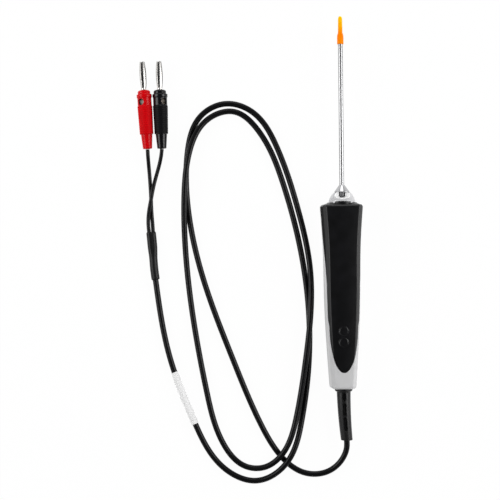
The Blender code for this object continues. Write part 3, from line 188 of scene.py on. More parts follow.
def skin(name, grids, material, closed=True, caps=True, loop=False, angle=35):
    """A mesh over one grid of points, or over several that make one piece. closed joins each row's
    last point to its first, caps fills the first and the last row, and loop joins the last row to
    the first instead. Points in one place become one, and what is left is turned outwards."""
    points, faces, start = [], [], 0
    for grid in grids if isinstance(grids, list) else [grids]:
        rows, columns = grid.shape[:2]
        index = start + np.arange(rows * columns).reshape(rows, columns)
        start += rows * columns
        points.append(grid.reshape(-1, 3))
        if closed:
            index = np.concatenate([index, index[:, :1]], axis=1)
        if loop:
            index = np.concatenate([index, index[:1]], axis=0)
        quads = np.stack([index[:-1, :-1], index[:-1, 1:], index[1:, 1:], index[1:, :-1]], axis=-1)
        faces += quads.reshape(-1, 4).tolist()
        if caps and not loop:
            faces += [index[0, :columns][::-1].tolist(), index[-1, :columns].tolist()]
    mesh = bpy.data.meshes.new(name)
    mesh.from_pydata(np.concatenate(points).tolist(), [], faces)
    shaper = bmesh.new()
    shaper.from_mesh(mesh)
    bmesh.ops.remove_doubles(shaper, verts=shaper.verts, dist=0.000002)
    bmesh.ops.recalc_face_normals(shaper, faces=shaper.faces)
    shaper.to_mesh(mesh)
    shaper.free()
    mesh.shade_smooth()
    mesh.set_sharp_from_angle(angle=math.radians(angle))
    mesh.materials.append(material)
    made = bpy.data.objects.new(name, mesh)
    scene.collection.objects.link(made)
    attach(made, "root")
    return made


def finish(name, shade, roughness, grain, relief, metallic=0.0, drift=0.08, gloss=0.5):
    """A plain finish. Noise twelve grains wide drifts the colour by drift and the roughness by a
    twelfth, and noise one grain wide raises the surface by relief."""
    made = bpy.data.materials.new(name)
    made.use_nodes = True
    made.diffuse_color = (*shade, 1)
    tree = made.node_tree
    shader = tree.nodes["Principled BSDF"]
    shader.inputs["Metallic"].default_value = metallic
    shader.inputs["Specular IOR Level"].default_value = gloss
    place = tree.nodes.new("ShaderNodeTexCoord")
    wide, fine = tree.nodes.new("ShaderNodeTexNoise"), tree.nodes.new("ShaderNodeTexNoise")
    wide.inputs["Scale"].default_value = 1 / (12 * grain)
    wide.inputs["Detail"].default_value = 3
    fine.inputs["Scale"].default_value = 1 / grain
    fine.inputs["Detail"].default_value = 2
    tint = tree.nodes.new("ShaderNodeValToRGB")
    darker, lighter = ([min(1, c * part) for c in shade] for part in (1 - drift, 1 + drift))
    set_ramp(tint.color_ramp, [(0.3, darker), (0.7, lighter)])
    rub = tree.nodes.new("ShaderNodeMapRange")
    rub.inputs["To Min"].default_value = roughness * 0.92
    rub.inputs["To Max"].default_value = min(1, roughness * 1.08)
    bump = tree.nodes.new("ShaderNodeBump")
    bump.inputs["Strength"].default_value = 0.5
    bump.inputs["Distance"].default_value = relief
    for noise in (wide, fine):
        tree.links.new(place.outputs["Object"], noise.inputs["Vector"])
    tree.links.new(wide.outputs["Fac"], tint.inputs[0])
    tree.links.new(wide.outputs["Fac"], rub.inputs["Value"])
    tree.links.new(fine.outputs["Fac"], bump.inputs["Height"])
    tree.links.new(tint.outputs[0], shader.inputs["Base Color"])
    tree.links.new(rub.outputs[0], shader.inputs["Roughness"])
    tree.links.new(bump.outputs[0], shader.inputs["Normal"])
    return made


def ring_of(count):
    """Angles of the points of one section, all the way round."""
    return np.linspace(0, 2 * math.pi, count, endpoint=False)


def hoops(line, radius, sides):
    """A grid of circles of one radius round a line, square to it."""
    turn = ring_of(sides)[None]
    return around(line, radius * np.sin(turn), radius * np.cos(turn))


jacket = finish(
    "satin_black_jacket", (0.003, 0.003, 0.0035), 0.34, 0.0006, 0.000002, gloss=0.17
)
cable_diameter = 0.0038
cable_route = (
    (0.0018, -0.0931, 0.0069), (0.0018, -0.0970, 0.0066), (-0.0003, -0.1038, 0.0055),
    (-0.0105, -0.1135, 0.0032), (-0.0260, -0.1142, 0.0021), (-0.0406, -0.1036, 0.0020),
    (-0.0533, -0.0832, 0.0020), (-0.0718, -0.0390, 0.0020), (-0.0902, 0.0128, 0.0020),
    (-0.0998, 0.0618, 0.0020), (-0.0994, 0.0947, 0.0020), (-0.0912, 0.1173, 0.0020),
    (-0.0748, 0.1258, 0.0020), (-0.0560, 0.1195, 0.0020), (-0.0420, 0.0988, 0.0020),
    (-0.0281, 0.0570, 0.0020), (-0.0206, 0.0178, 0.0040), (-0.0208, -0.0121, 0.0067),
    (-0.0243, -0.0419, 0.0061), (-0.0304, -0.0774, 0.0050), (-0.0410, -0.1028, 0.0065),
    (-0.0516, -0.1101, 0.0050), (-0.0640, -0.1096, 0.0029), (-0.0785, -0.0942, 0.0020),
    (-0.0882, -0.0628, 0.0020), (-0.0975, -0.0086, 0.0020), (-0.1018, 0.0412, 0.0033),
    (-0.1016, 0.0672, 0.0063), (-0.0979, 0.0949, 0.0064), (-0.0860, 0.1157, 0.0034),
    (-0.0689, 0.1206, 0.0020), (-0.0539, 0.1090, 0.0020), (-0.0380, 0.0751, 0.0020),
    (-0.0251, 0.0217, 0.0020), (-0.0215, -0.0332, 0.0020), (-0.0273, -0.0816, 0.0028),
    (-0.0368, -0.1067, 0.0065), (-0.0572, -0.1191, 0.0029), (-0.0773, -0.1112, 0.0020),
    (-0.0969, -0.0802, 0.0026), (-0.1124, -0.0379, 0.0026), (-0.1211, 0.0130, 0.0028),
)
cable_line = laid(cable_route, 0.00195, 0.0016)
cable = skin("cable_jacket", hoops(cable_line, cable_diameter / 2, 24), jacket)
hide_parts("cable")


# Two leads, 2.5 mm thick, of the same jacket: they come out of the Y sleeve side by side, cross
# once, and each rises off the table into the tail of its plug.
lead_diameter = 0.0025
lead_routes = {
    "red": (
        (-0.1223, 0.0422, 0.0022), (-0.1226, 0.0475, 0.0014), (-0.1232, 0.0560, 0.0013),
        (-0.1235, 0.0650, 0.0013), (-0.1239, 0.0740, 0.0013), (-0.1246, 0.0850, 0.0021),
        (-0.1250, 0.0930, 0.0046), (-0.12512, 0.0965, 0.0050),
    ),
    "black": (
        (-0.1248, 0.0422, 0.0034), (-0.1253, 0.0475, 0.0028), (-0.1249, 0.0555, 0.0033),
        (-0.1233, 0.0640, 0.0042), (-0.1214, 0.0735, 0.0033), (-0.1188, 0.0830, 0.0023),
        (-0.1165, 0.0920, 0.0042), (-0.11584, 0.0966, 0.0050),
    ),
}
lead_lines = {colour: laid(route, 0.0013, 0.0008) for colour, route in lead_routes.items()}
for colour, line in lead_lines.items():
    skin(f"lead_jacket_{colour}", hoops(line, lead_diameter / 2, 20), jacket)
    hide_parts(f"lead_{colour}")


# The Y sleeve: black shrink tube over the fork, round on the cable and drawn down over the two
# leads to a flat oval with a waist between them.
def eased(share):
    """A share from 0 to 1 that sets off and arrives slowly: 3 times its square less 2 its cube."""
    return share * share * (3 - 2 * share)


shrunk = finish(
    "matt_shrink_tube", (0.006, 0.006, 0.0065), 0.42, 0.0005, 0.000006, gloss=0.22
)
y_radius, y_spread, y_end_turn = 0.0027, 0.00045, 0.0003
y_waist_depth, y_waist_width = 0.16, 0.30
y_route = (
    (-0.12088, 0.0120, 0.0028), (-0.1216, 0.0175, 0.0029), (-0.1225, 0.0300, 0.0029),
    (-0.1236, 0.0430, 0.0029),
)
y_line = laid(y_route, 0, 0.0004)
share = np.linspace(0, 1, len(y_line))[:, None]
turn = ring_of(40)[None]
spread = eased(np.clip((share - 0.42) / 0.3, 0, 1))
end_turn = y_end_turn * (np.clip(1 - share / 0.02, 0, 1) + np.clip(1 - (1 - share) / 0.02, 0, 1))
y_side = (y_radius + y_spread * spread - end_turn) * np.sin(turn)
y_waist = 1 - y_waist_depth * spread * np.exp(-((np.sin(turn) / y_waist_width) ** 2))
y_up = (y_radius - end_turn) * np.cos(turn) * y_waist
y_sleeve = skin("y_shrink_sleeve", around(y_line, y_side, y_up), shrunk)
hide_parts("y_sleeve")


# The marker: 36 mm of thin white shrink tube on the cable, with ends cut square.
marker_white = finish(
    "white_marker_tube", (0.84, 0.84, 0.84), 0.5, 0.0008, 0.000001, drift=0.02, gloss=0.3
)
marker_start, marker_end, end_margin = 1.1754, 1.2114, 0.0008
marker_bore, marker_outer = 0.00193, 0.00240
length = run_of(cable_line)
between = (length > marker_start + end_margin) & (length < marker_end - end_margin)
at = np.concatenate([[marker_start], length[between], [marker_end]])
marker_line = np.stack([np.interp(at, length, cable_line[:, k]) for k in range(3)], axis=1)
marker_grid = np.concatenate([
    hoops(marker_line, marker_outer, 32), hoops(marker_line, marker_bore, 32)[::-1],
])
marker = skin("marker_tube", marker_grid, marker_white, loop=True)
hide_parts("marker_sleeve")


# The boot: black rubber, moulded with three slots along its front and three along its back, which
# let it bend. A flange sits against the handle, and another holds it inside the end wall.
def turned(profile, sides, centre):
    """A grid round an axis along Y through centre (x, z), from (y, radius) points."""
    profile = np.array(profile, float)
    turn = ring_of(sides)[None]
    radius = profile[:, 1:]
    y = np.broadcast_to(profile[:, :1], (len(profile), sides))
    return np.stack(
        [centre[0] + radius * np.sin(turn), y, centre[1] + radius * np.cos(turn)], axis=-1
    )


def pulled(corner, back, ahead, reach, t):
    """The curve from one edge to the next that their corner pulls, starting and ending at reach
    from it: back and ahead are the edges seen from the corner."""
    first = corner + back / np.hypot(*back) * reach
    last = corner + ahead / np.hypot(*ahead) * reach
    return (1 - t) ** 2 * first + 2 * t * (1 - t) * corner + t**2 * last


def fillet(corners, steps=4):
    """A profile whose corners (y, radius, size) are rounded, each by at most half of an edge."""
    points = np.array([corner[:2] for corner in corners], float)
    t = np.linspace(0, 1, steps + 1)[:, None]
    line = [points[0]]
    for i in range(1, len(points) - 1):
        size = corners[i][2]
        if size == 0:
            line.append(points[i])
            continue
        back, ahead = points[i - 1] - points[i], points[i + 1] - points[i]
        room = 0.49 * min(np.hypot(*back), np.hypot(*ahead))
        line += list(pulled(points[i], back, ahead, min(size, room), t))
    return np.array(line + [points[-1]])


rubber = finish(
    "black_moulded_rubber", (0.006, 0.006, 0.0065), 0.40, 0.0005, 0.000006, gloss=0.30
)
head_y, end_y = 0.0593, -0.0593
probe_z, cable_z = 0.011, 0.00825
boot_length, boot_root, boot_tip, boot_bore = 0.0335, 0.0045, 0.00375, 0.0022
flange, wall_side = 0.0056, 0.0029
boot_profile = [
    (0.0040, boot_bore, 0), (0.0040, flange, 0.0003), (wall_side, 0.0058, 0.0003),
    (wall_side, boot_root, 0.0001), (-0.0003, boot_root, 0.0001), (-0.0003, 0.0057, 0.0004),
    (-0.0015, flange, 0.0005), (-0.0019, boot_root, 0.0004), (-0.0030, boot_root, 0),
]
boot_profile = fillet([(end_y + y, r, s) for y, r, s in boot_profile])[:-1]
along = np.linspace(0.0030, boot_length - 0.0010, 150)
taper = boot_root + (boot_tip - boot_root) * (along - 0.0015) / boot_length
body = np.stack([end_y - along, taper], axis=1)
boot_end = end_y - boot_length
tip = fillet([
    (body[-1, 0], body[-1, 1], 0), (boot_end, body[-1, 1], 0.0009),
    (boot_end, boot_bore, 0.0002), (boot_end + 0.004, boot_bore - 0.0001, 0),
])
boot_grid = turned(np.concatenate([boot_profile, body, tip[1:]]), 120, (0, cable_z))

# Each slot is sunk into the front and the back, with round ends and a soft edge. Then the boot
# leans and sags by the square of the way along it, to meet the cable.
slots, slot_radius, slot_half, slot_edge, slot_depth = (
    ((0.0028, 0.0080), (0.0093, 0.0176), (0.0184, 0.0273)), 0.00105, 0.00118, 0.00030, 0.0013
)
boot_lean, boot_sag = 0.0018, 0.0013
past = end_y - boot_grid[..., 1]
offset = boot_grid[..., [0, 2]] - (0, cable_z)
outside = np.hypot(offset[..., 0], offset[..., 1]) > 0.0032
sunk = np.zeros_like(past)
for start, end in slots:
    over = np.clip(past, start + slot_radius, end - slot_radius) - past
    reach = np.hypot(over, offset[..., 0])
    sunk = np.maximum(sunk, np.clip((slot_half - reach) / slot_edge, 0, 1))
sunk *= outside & (past > 0.0022)
boot_grid[..., 2] -= np.sign(offset[..., 1]) * slot_depth * eased(sunk)
lean = np.clip(past / boot_length, 0, None)
boot_grid[..., 0] += boot_lean * lean**2
boot_grid[..., 2] -= boot_sag * lean**2
boot = skin("strain_relief_boot", boot_grid, rubber, angle=50)
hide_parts("cable_boot")


# The handle's form, which both of its shells share: a flat back with round corners, flanks that
# lean in, a chamfer on each side of a slightly crowned front, and round ends. The seam starts low
# on the flank at the head, rises to the chamfer, and closes round the cover's tongue.
handle_length, shell_wall = 0.1186, 0.0006
tongue_width, tongue_length, tongue_flare, tongue_from_end = 0.0184, 0.030, 0.0068, 0.0107
tongue_end = handle_length - tongue_from_end
seam_low, seam_below_front, seam_gap, least_opening = 0.0050, 0.0037, 0.00015, 0.0008
lip_depths = np.array([0.0011, 0.0004, 0.00014])


def size_at(distance):
    """Width and depth of the handle at distances from its head, through four known sections."""
    known = ((0.0286, 0.0220), (0.0253, 0.0208), (0.0242, 0.0200), (0.0181, 0.0165))
    return spline((0, 0.025, 0.056, handle_length), known, np.atleast_1d(distance))


def half_outline(distance, inset):
    """One side of the section, from the middle of the back round to the middle of the front, as
    (x, z). Each corner is a curve pulled by the corner itself, and the front is a parabola."""
    width, depth = size_at(distance)[0]
    shoulder = width / 2 - 0.0013
    corners = np.array([
        (0, 0), (width / 2, 0), (shoulder, depth - 0.0042),
        (shoulder - 0.0021, depth - 0.0005), (0, depth),
    ])
    t = np.linspace(0, 1, 10)[:, None]
    line = [corners[:1]]
    for i, reach in ((1, 0.0031), (2, 0.0005), (3, 0.0006)):
        back, ahead = corners[i - 1] - corners[i], corners[i + 1] - corners[i]
        line.append(pulled(corners[i], back, ahead, reach, t))
    edge = line[-1][-1]
    x = edge[0] * (1 - np.linspace(0, 1, 24)[1:])
    line.append(np.stack([x, depth - (depth - edge[1]) * (x / edge[0]) ** 2], axis=1))
    line = np.concatenate(line)
    line[:, 0] *= 1 - inset / (width / 2)
    line[:, 1] = depth / 2 + (line[:, 1] - depth / 2) * (1 - inset / (depth / 2))
    return line


def parting(distance, line):
    """Where the seam crosses one side of the section, as a length along it. The seam is at a set
    height on the flank, and inside a half ellipse at the end of the cover, which flares out to
    the flank over half of the ellipse's length."""
    depth = size_at(distance)[0, 1]
    rise = eased(np.clip((distance - 0.017) / 0.035, 0, 1))
    seam_z = seam_low + (depth - seam_below_front - seam_low) * rise
    length = run_of(line)
    at = np.interp(seam_z, line[:, 1], length)
    tongue = (tongue_end - distance) / tongue_length
    front = slice(len(line) - 40, None)
    if tongue < 1.5:
        short = 1 - min(max(tongue, 0), 1)
        reach = tongue_width / 2 * math.sqrt(max(0, 1 - short**2))
        reach += tongue_flare * max(0, tongue - 1)
        at = max(at, np.interp(-reach, -line[front, 0], length[front], left=0))
    return at, length


def edge_rows(radius, count):
    """(distance, inset) of a quarter-round edge, from the end face to the full section."""
    beta = np.linspace(0, math.pi / 2, count)
    return np.stack([radius * (1 - np.cos(beta)), radius * (1 - np.sin(beta))], axis=1)


def plain(distances):
    """Stations of the full section, with nothing taken off."""
    return [(distance, 0.0) for distance in distances]


def across(line, length, low, high, count, lip, lip_at):
    """Points of one side between two lengths. With a lip, its edge turns in between the shells:
    three more points that follow the edge down into the seam."""
    at = np.linspace(low, high, count)
    points = np.stack([np.interp(at, length, line[:, k]) for k in (0, 1)], axis=1)
    step = np.gradient(points, axis=0) if high > low else np.tile((1.0, 0.0), (count, 1))
    size = np.maximum(np.hypot(step[:, 0], step[:, 1]), 1e-12)[:, None]
    inward = np.stack([-step[:, 1], step[:, 0]], axis=1) / size
    edge = 0 if lip_at == "first" else -1
    if lip:
        rim = points[edge] + inward[edge] * lip_depths[:, None]
        points[edge] += inward[edge] * 0.00002
    else:
        rim = np.tile(points[edge], (3, 1))
    return np.concatenate([rim, points] if edge == 0 else [points, rim[::-1]])


def both_sides(half, y, first_is_edge):
    """The whole row from one side of it: the other side is its mirror image."""
    row = np.stack([half[:, 0], np.broadcast_to(y, len(half)), half[:, 1]], axis=1)
    other = row * (-1, 1, 1)
    return np.concatenate([row, other[::-1][1:]] if first_is_edge else [other[::-1], row[1:]])


# The ring on the head that the nose sits down into. Its sides are lower than its front and back,
# and a key notch stands at each change of height.
ring_outer, ring_inner, ring_foot, ring_sides = 0.0095, 0.0088, 0.0008, 0.0012
neck_bore, bore_depth = 0.0068, -0.0025
key_angle, notch_half_width = math.radians(37), 0.0008
ring_profile = (
    (ring_outer, ring_foot), (ring_outer, 0.0016), (0.00944, 0.0018), (0.0093, 0.0019),
    (0.0090, 0.0019), (ring_inner, 0.0018), (ring_inner, 0.0), (neck_bore, 0.0),
    (neck_bore, bore_depth),
)


def socket_rows(kind, count):
    """The head face, the ring and the bore, as rows from inside out. Each is a circle about the
    probe, from the seam to the shell's middle."""
    rows = []
    for radius, rise in ring_profile:
        seam = math.acos((seam_low - probe_z) / radius)
        gap = seam_gap / radius
        if kind == "cover":
            angle = np.linspace(seam - gap, 0, count)
        else:
            angle = np.linspace(math.pi, seam + gap, count)
        y = np.full(count, head_y + rise)
        if rise > ring_foot:
            y[angle > key_angle] = head_y + min(rise, ring_sides)
            y[np.abs(angle - key_angle) * radius < notch_half_width] = head_y + ring_foot
        half = np.stack([radius * np.sin(angle), probe_z + radius * np.cos(angle)], axis=1)
        edge = 0 if kind == "cover" else -1
        rim = np.tile(half[edge], (3, 1))
        low = y[edge] - lip_depths
        if kind == "cover":
            half, y = np.concatenate([rim, half]), np.concatenate([low, y])
        else:
            half, y = np.concatenate([half, rim[::-1]]), np.concatenate([y, low[::-1]])
        rows.append(both_sides(half, y, kind == "cover"))
    return rows[::-1]


def clear_of_socket(half):
    """Moves what the ring would cover out to the ring's foot."""
    out = half - (0, probe_z)
    radius = np.hypot(out[:, 0], out[:, 1])[:, None]
    return (0, probe_z) + out * np.maximum(1, ring_outer / radius)


# Where the sections stand, as distances from the head: close together where the seam bends.
middle = plain(np.concatenate([
    np.linspace(0.002, 0.078, 110)[1:],
    np.linspace(0.078, 0.100, 90)[1:],
    0.100 + (tongue_end - 0.100) * np.sin(np.linspace(0, math.pi / 2, 40))[1:],
]))
head_rows = [(-0.0008, 0.0042), *edge_rows(0.0020, 9)]


# The cover: black plastic with a fine matt grain, its front, upper flanks and tongue in one
# moulding. Its steep flanks take a duller copy of the black with almost no gloss, as painted shade
# beside the handle. Two bare ring marks are sunk in its front.
def faces_of(mesh):
    """The normal and the middle of every face of a mesh."""
    normals, middles = (np.empty(len(mesh.polygons) * 3) for _ in range(2))
    mesh.polygons.foreach_get("normal", normals)
    mesh.polygons.foreach_get("center", middles)
    return normals.reshape(-1, 3), middles.reshape(-1, 3)


def give_faces(mesh, chosen, material):
    """Gives the chosen faces of a mesh a second material."""
    mesh.materials.append(material)
    mesh.polygons.foreach_set("material_index", chosen.ravel().astype(np.int32))


def thicken(piece):
    """Gives an open shell its wall, inwards."""
    wall = piece.modifiers.new("wall", "SOLIDIFY")
    wall.thickness = shell_wall
    wall.offset = -1


cover_black = finish(
    "matt_black_grain", (0.0025, 0.0025, 0.0032), 0.36, 0.0006, 0.000006, drift=0.4, gloss=0.34
)
# A duller copy of the black with almost no gloss: painted shade for the steep flanks.
flank_shade_black = finish(
    "painted_shade_black_flank", (0.005, 0.005, 0.0055), 0.75, 0.0006, 0.000006, drift=0.4, gloss=0.02
)
columns = 70
rows = socket_rows("cover", columns)
for distance, inset in [*head_rows, *middle]:
    line = half_outline(distance, inset)
    seam, length = parting(distance, line)
    top = length[-1]
    low = min(seam + seam_gap, top)
    half = across(line, length, low, top, columns, top - seam > least_opening, "first")
    rows.append(both_sides(clear_of_socket(half) if inset > 0 else half, head_y - distance, True))
cover_grid = np.array(rows)
mark_radius, mark_width, mark_depth = 0.0029, 0.00040, 0.00022
tongue_tip = end_y + tongue_from_end
distance = np.clip(head_y - cover_grid[..., 1], 0, handle_length)
depth = size_at(distance.ravel())[:, 1].reshape(distance.shape)
front = cover_grid[..., 2] > depth - 0.0006
for reach in (0.0272, 0.0200):
    radius = np.hypot(cover_grid[..., 0], cover_grid[..., 1] - tongue_tip - reach)
    cover_grid[..., 2] -= mark_depth * np.exp(-(((radius - mark_radius) / mark_width) ** 2)) * front
cover = skin("handle_cover", cover_grid, cover_black, closed=False, caps=False, angle=60)
normals, _ = faces_of(cover.data)
# Faces that stand steep on the flanks take the duller black: painted shade.
give_faces(cover.data, np.abs(normals[:, 0]) > 0.93, flank_shade_black)
thicken(cover)
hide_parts("front_cover")


# The grey shell: light grey plastic with a satin grain, the back, the lower flanks and the whole
# cable end in one moulding. Its edge turns in all round the cover's tongue.
shell_grey = finish(
    "light_grey_satin", (0.56, 0.56, 0.565), 0.40, 0.0006, 0.000004, drift=0.02, gloss=0.4
)
columns = 78
end_edge, end_recess, boot_hole = 0.0017, 0.0060, 0.00465
after = plain(np.linspace(tongue_end, handle_length - end_edge, 14)[1:])
end_rows = [(handle_length - d, inset) for d, inset in edge_rows(end_edge, 9)[::-1][1:]]
rows = socket_rows("shell", columns)
for distance, inset in [*head_rows, *middle, *after, *end_rows]:
    line = half_outline(distance, inset)
    seam, length = parting(distance, line)
    is_open = length[-1] - seam > least_opening
    high = seam - seam_gap if is_open else length[-1]
    half = across(line, length, 0, high, columns, is_open, "last")
    at_head = inset > 0 and distance < 0.01
    rows.append(both_sides(clear_of_socket(half) if at_head else half, head_y - distance, False))
outline = rows[-1]
angle = np.arctan2(outline[:, 0], outline[:, 2] - cable_z)
for radius, y in ((end_recess, end_y), (boot_hole, end_y), (boot_hole, end_y + 0.0025)):
    circle = [radius * np.sin(angle), np.full(len(angle), y), cable_z + radius * np.cos(angle)]
    rows.append(np.stack(circle, axis=1))
rear = skin("handle_shell", np.array(rows), shell_grey, closed=False, caps=False, angle=60)
thicken(rear)
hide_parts("rear_shell")


# The nose: a light silver-grey moulding whose rim has two wide windows shaped like half an
# ellipse, at its front and its back, and a small vent notch on each side of each. Two keys on its
# foot stand in the ring's notches, and its neck goes through the head wall to a flange inside.
nose_silver = finish(
    "silver_grey_satin", (0.57, 0.57, 0.58), 0.30, 0.0005, 0.000001, metallic=0.15, drift=0.02
)
# A near-white copy of the silver: a painted highlight on the walls of the windows.
window_highlight = finish("painted_highlight_window_wall", (0.90, 0.90, 0.90), 0.35, 0.0005, 0.000001, drift=0.02)
rim_height, rim_drop, rim_bevel = 0.0080, 0.0006, 0.0007
window_depth, window_slope = 0.0038, 1.12
notch_angle, notch_half, notch_depth = math.radians(60), math.radians(8), 0.0011
nose_foot, nose_shoulder, key_reach, key_half = 0.0086, 0.0022, 0.00929, 0.0005 / 0.0090
nose_floor, nose_bore = 0.0040, 0.0028


def from_window(angle):
    """The angle to the middle of the nearest window."""
    return (angle + math.pi / 2) % math.pi - math.pi / 2


def rim_at(angle):
    """Height of the rim over the head: full, less half an ellipse in the tangent of the angle
    from the middle of the nearest window, and less a parabola at each vent notch."""
    nearest = from_window(angle)
    window = np.sqrt(np.clip(1 - (np.tan(nearest) / window_slope) ** 2, 0, 1))
    notch = np.clip(1 - ((np.abs(nearest) - notch_angle) / notch_half) ** 2, 0, 1)
    return rim_height - window_depth * window - notch_depth * notch


def nose_radius(height):
    """Outer radius: straight up to the shoulder, then a cone that bulges by a parabola."""
    t = np.clip((height - nose_shoulder) / (rim_height - nose_shoulder), 0, 1)
    return nose_foot - 0.0034 * t + 0.0019 * t * (1 - t)


# Its grid has a column on each edge of a key, and more of them where a window is steep.
window_turn = np.arctan(window_slope * np.cos(np.linspace(math.pi, 0, 33)))
between = np.linspace(window_turn[-1], math.pi - window_turn[-1], 61)[1:-1]
half_turn = np.concatenate([window_turn, between])
key_edges = [
    side * key_angle + edge * (key_half + tiny)
    for side in (-1, 1) for edge in (-1, 1) for tiny in (0, 0.001)
]
angle = np.concatenate([half_turn, half_turn + math.pi, key_edges])
angle = np.sort(angle % (2 * math.pi))
from_front = np.abs((angle + math.pi) % (2 * math.pi) - math.pi)
foot = np.where(np.abs(from_front - key_angle) < key_half + 0.0005, key_reach, nose_foot)
rim = rim_at(angle)
level = np.ones_like(angle)
rows = [
    (0.0003 * level, foot - 0.0001), (0.0004 * level, foot), (0.0016 * level, foot),
    (0.00161 * level, nose_foot * level),
]
for share in np.linspace(0, 1, 14):
    height = nose_shoulder + (rim - rim_drop - nose_shoulder) * share
    rows.append((height, nose_radius(height)))
first_cut = len(rows) - 1
rows += [(rim, nose_radius(rim) - rim_bevel), (rim, (nose_bore + 0.0001) * level)]
for share in (1, 0.66, 0.33, 0):
    rows.append((nose_floor + (rim - 0.0001 - nose_floor) * share, nose_bore * level))
last_cut = len(rows) - 1
rows += [(height * level, radius * level) for height, radius in (
    (0.0030, 0.0031), (0.0030, 0.0049), (-0.0044, 0.0049), (-0.0044, 0.0080), (-0.0043, 0.0081),
    (-0.0030, 0.0081), (-0.0029, 0.0080), (-0.0029, 0.0065), (0.0003, 0.0065),
)]
nose_grid = np.array([
    np.stack([radius * np.sin(angle), head_y + height, probe_z + radius * np.cos(angle)], axis=1)
    for height, radius in rows
])
nose = skin("vented_nose", nose_grid, nose_silver, loop=True, angle=40)
# Inside each window the rim's bevel, top and inner wall take the near-white: painted highlight.
highlight_faces = np.zeros(nose_grid.shape[:2], bool)
highlight_faces[first_cut:last_cut] = np.abs(from_window(angle)) < math.atan(window_slope) + 0.02
give_faces(nose.data, highlight_faces, window_highlight)
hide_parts("nose_body")


# The cone, turned from steel: it stands over the nose's rim on a thinner neck, and its stem goes
# down through the nose's floor. Below the rim its steel is painted dark, as painted shade inside
# the nose. The sheath, drawn steel tube, comes up through the cone and is drawn down at its tip.
steel = finish(
    "turned_steel", (0.50, 0.50, 0.51), 0.20, 0.0003, 0.0000006, metallic=1.0, drift=0.03
)
# A dark steel for the neck: painted shade inside the nose.
neck_shade = finish(
    "painted_shade_neck_steel", (0.16, 0.16, 0.165), 0.45, 0.0003, 0.000001, metallic=0.5
)
drawn = finish(
    "drawn_steel", (0.36, 0.36, 0.365), 0.36, 0.0002, 0.0000003, metallic=1.0, drift=0.02
)
probe = (0, probe_z)
apex_y = head_y + 0.01255
cone_edge, cone_under, stem_top, stem_end = (
    apex_y - 0.0043, apex_y - 0.00448, head_y + 0.0046, head_y - 0.0006
)
cone_profile = fillet([
    (apex_y, 0.00162, 0), (apex_y, 0.00180, 0.0001), (cone_edge, 0.0049, 0.0001),
    (cone_under, 0.0049, 0.0001), (cone_under, 0.0021, 0.0002), (stem_top, 0.0021, 0.0001),
    (stem_top, 0.0026, 0.0001), (stem_end, 0.0026, 0.0002), (stem_end, 0.00162, 0),
])
cone = skin("steel_cone", turned(cone_profile, 72, probe), steel, loop=True)
# Faces below the rim take the dark steel: painted shade.
_, middles = faces_of(cone.data)
give_faces(cone.data, middles[:, 1] < head_y + rim_height, neck_shade)
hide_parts("sheath_cone")

tip_y = apex_y + 0.1075
sheath_foot = head_y - 0.012
sheath_profile = fillet([
    (tip_y, 0.0, 0), (tip_y, 0.00095, 0.0005), (tip_y - 0.0105, 0.00095, 0.0003),
    (tip_y - 0.01105, 0.0015, 0.0003), (sheath_foot, 0.0015, 0.0001),
    (sheath_foot, 0.0012, 0.0001), (tip_y - 0.0113, 0.0012, 0.0001),
    (tip_y - 0.0108, 0.0007, 0.0001), (tip_y - 0.0005, 0.0007, 0.0001), (tip_y - 0.0005, 0.0, 0),
])
sheath = skin("steel_sheath", turned(sheath_profile, 48, probe), drawn, caps=False)
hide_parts("sheath_tube")


# The tip cap: soft orange plastic, pushed over the tip, with a domed end and a thicker collar at
# its mouth. It pales towards its end, where its wall is thinner.
cap_orange = finish(
    "orange_soft_plastic", (0.95, 0.36, 0.03), 0.35, 0.0004, 0.000001, drift=0.05, gloss=0.03
)
step_y = tip_y - 0.0105
cap_mouth, cap_end = step_y - 0.0064, tip_y + 0.00102
cap_shades = [
    (0.0, (1.0, 0.26, 0.001)), (0.36, (1.0, 0.22, 0.001)), (0.6, (1.0, 0.39, 0.001)),
    (1.0, (1.0, 0.58, 0.003)),
]
tree = cap_orange.node_tree
place = tree.nodes.new("ShaderNodeTexCoord")
parts = tree.nodes.new("ShaderNodeSeparateXYZ")
along = tree.nodes.new("ShaderNodeMapRange")
along.inputs["From Min"].default_value = cap_mouth
along.inputs["From Max"].default_value = tip_y + 0.001
amber = tree.nodes.new("ShaderNodeValToRGB")
set_ramp(amber.color_ramp, cap_shades)
tree.links.new(place.outputs["Object"], parts.inputs[0])
tree.links.new(parts.outputs["Y"], along.inputs["Value"])
tree.links.new(along.outputs[0], amber.inputs[0])
tree.links.new(amber.outputs[0], tree.nodes["Principled BSDF"].inputs["Base Color"])
cap_profile = fillet([
    (cap_end, 0.0, 0), (cap_end, 0.00050, 0.0004), (tip_y + 0.00060, 0.00108, 0.0004),
    (tip_y - 0.0007, 0.00134, 0.0006), (step_y + 0.0009, 0.00146, 0.0004),
    (step_y - 0.0010, 0.00207, 0.0008), (cap_mouth, 0.00207, 0.0003),
    (cap_mouth, 0.00162, 0.00005), (step_y - 0.00055, 0.00158, 0.0001),
    (step_y + 0.00012, 0.00107, 0.0001), (tip_y + 0.00012, 0.00107, 0.0001),
    (tip_y + 0.00012, 0.0, 0),
])
cap = skin("orange_tip_cap", turned(cap_profile, 48, probe), cap_orange, caps=False)
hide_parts("tip_cap")


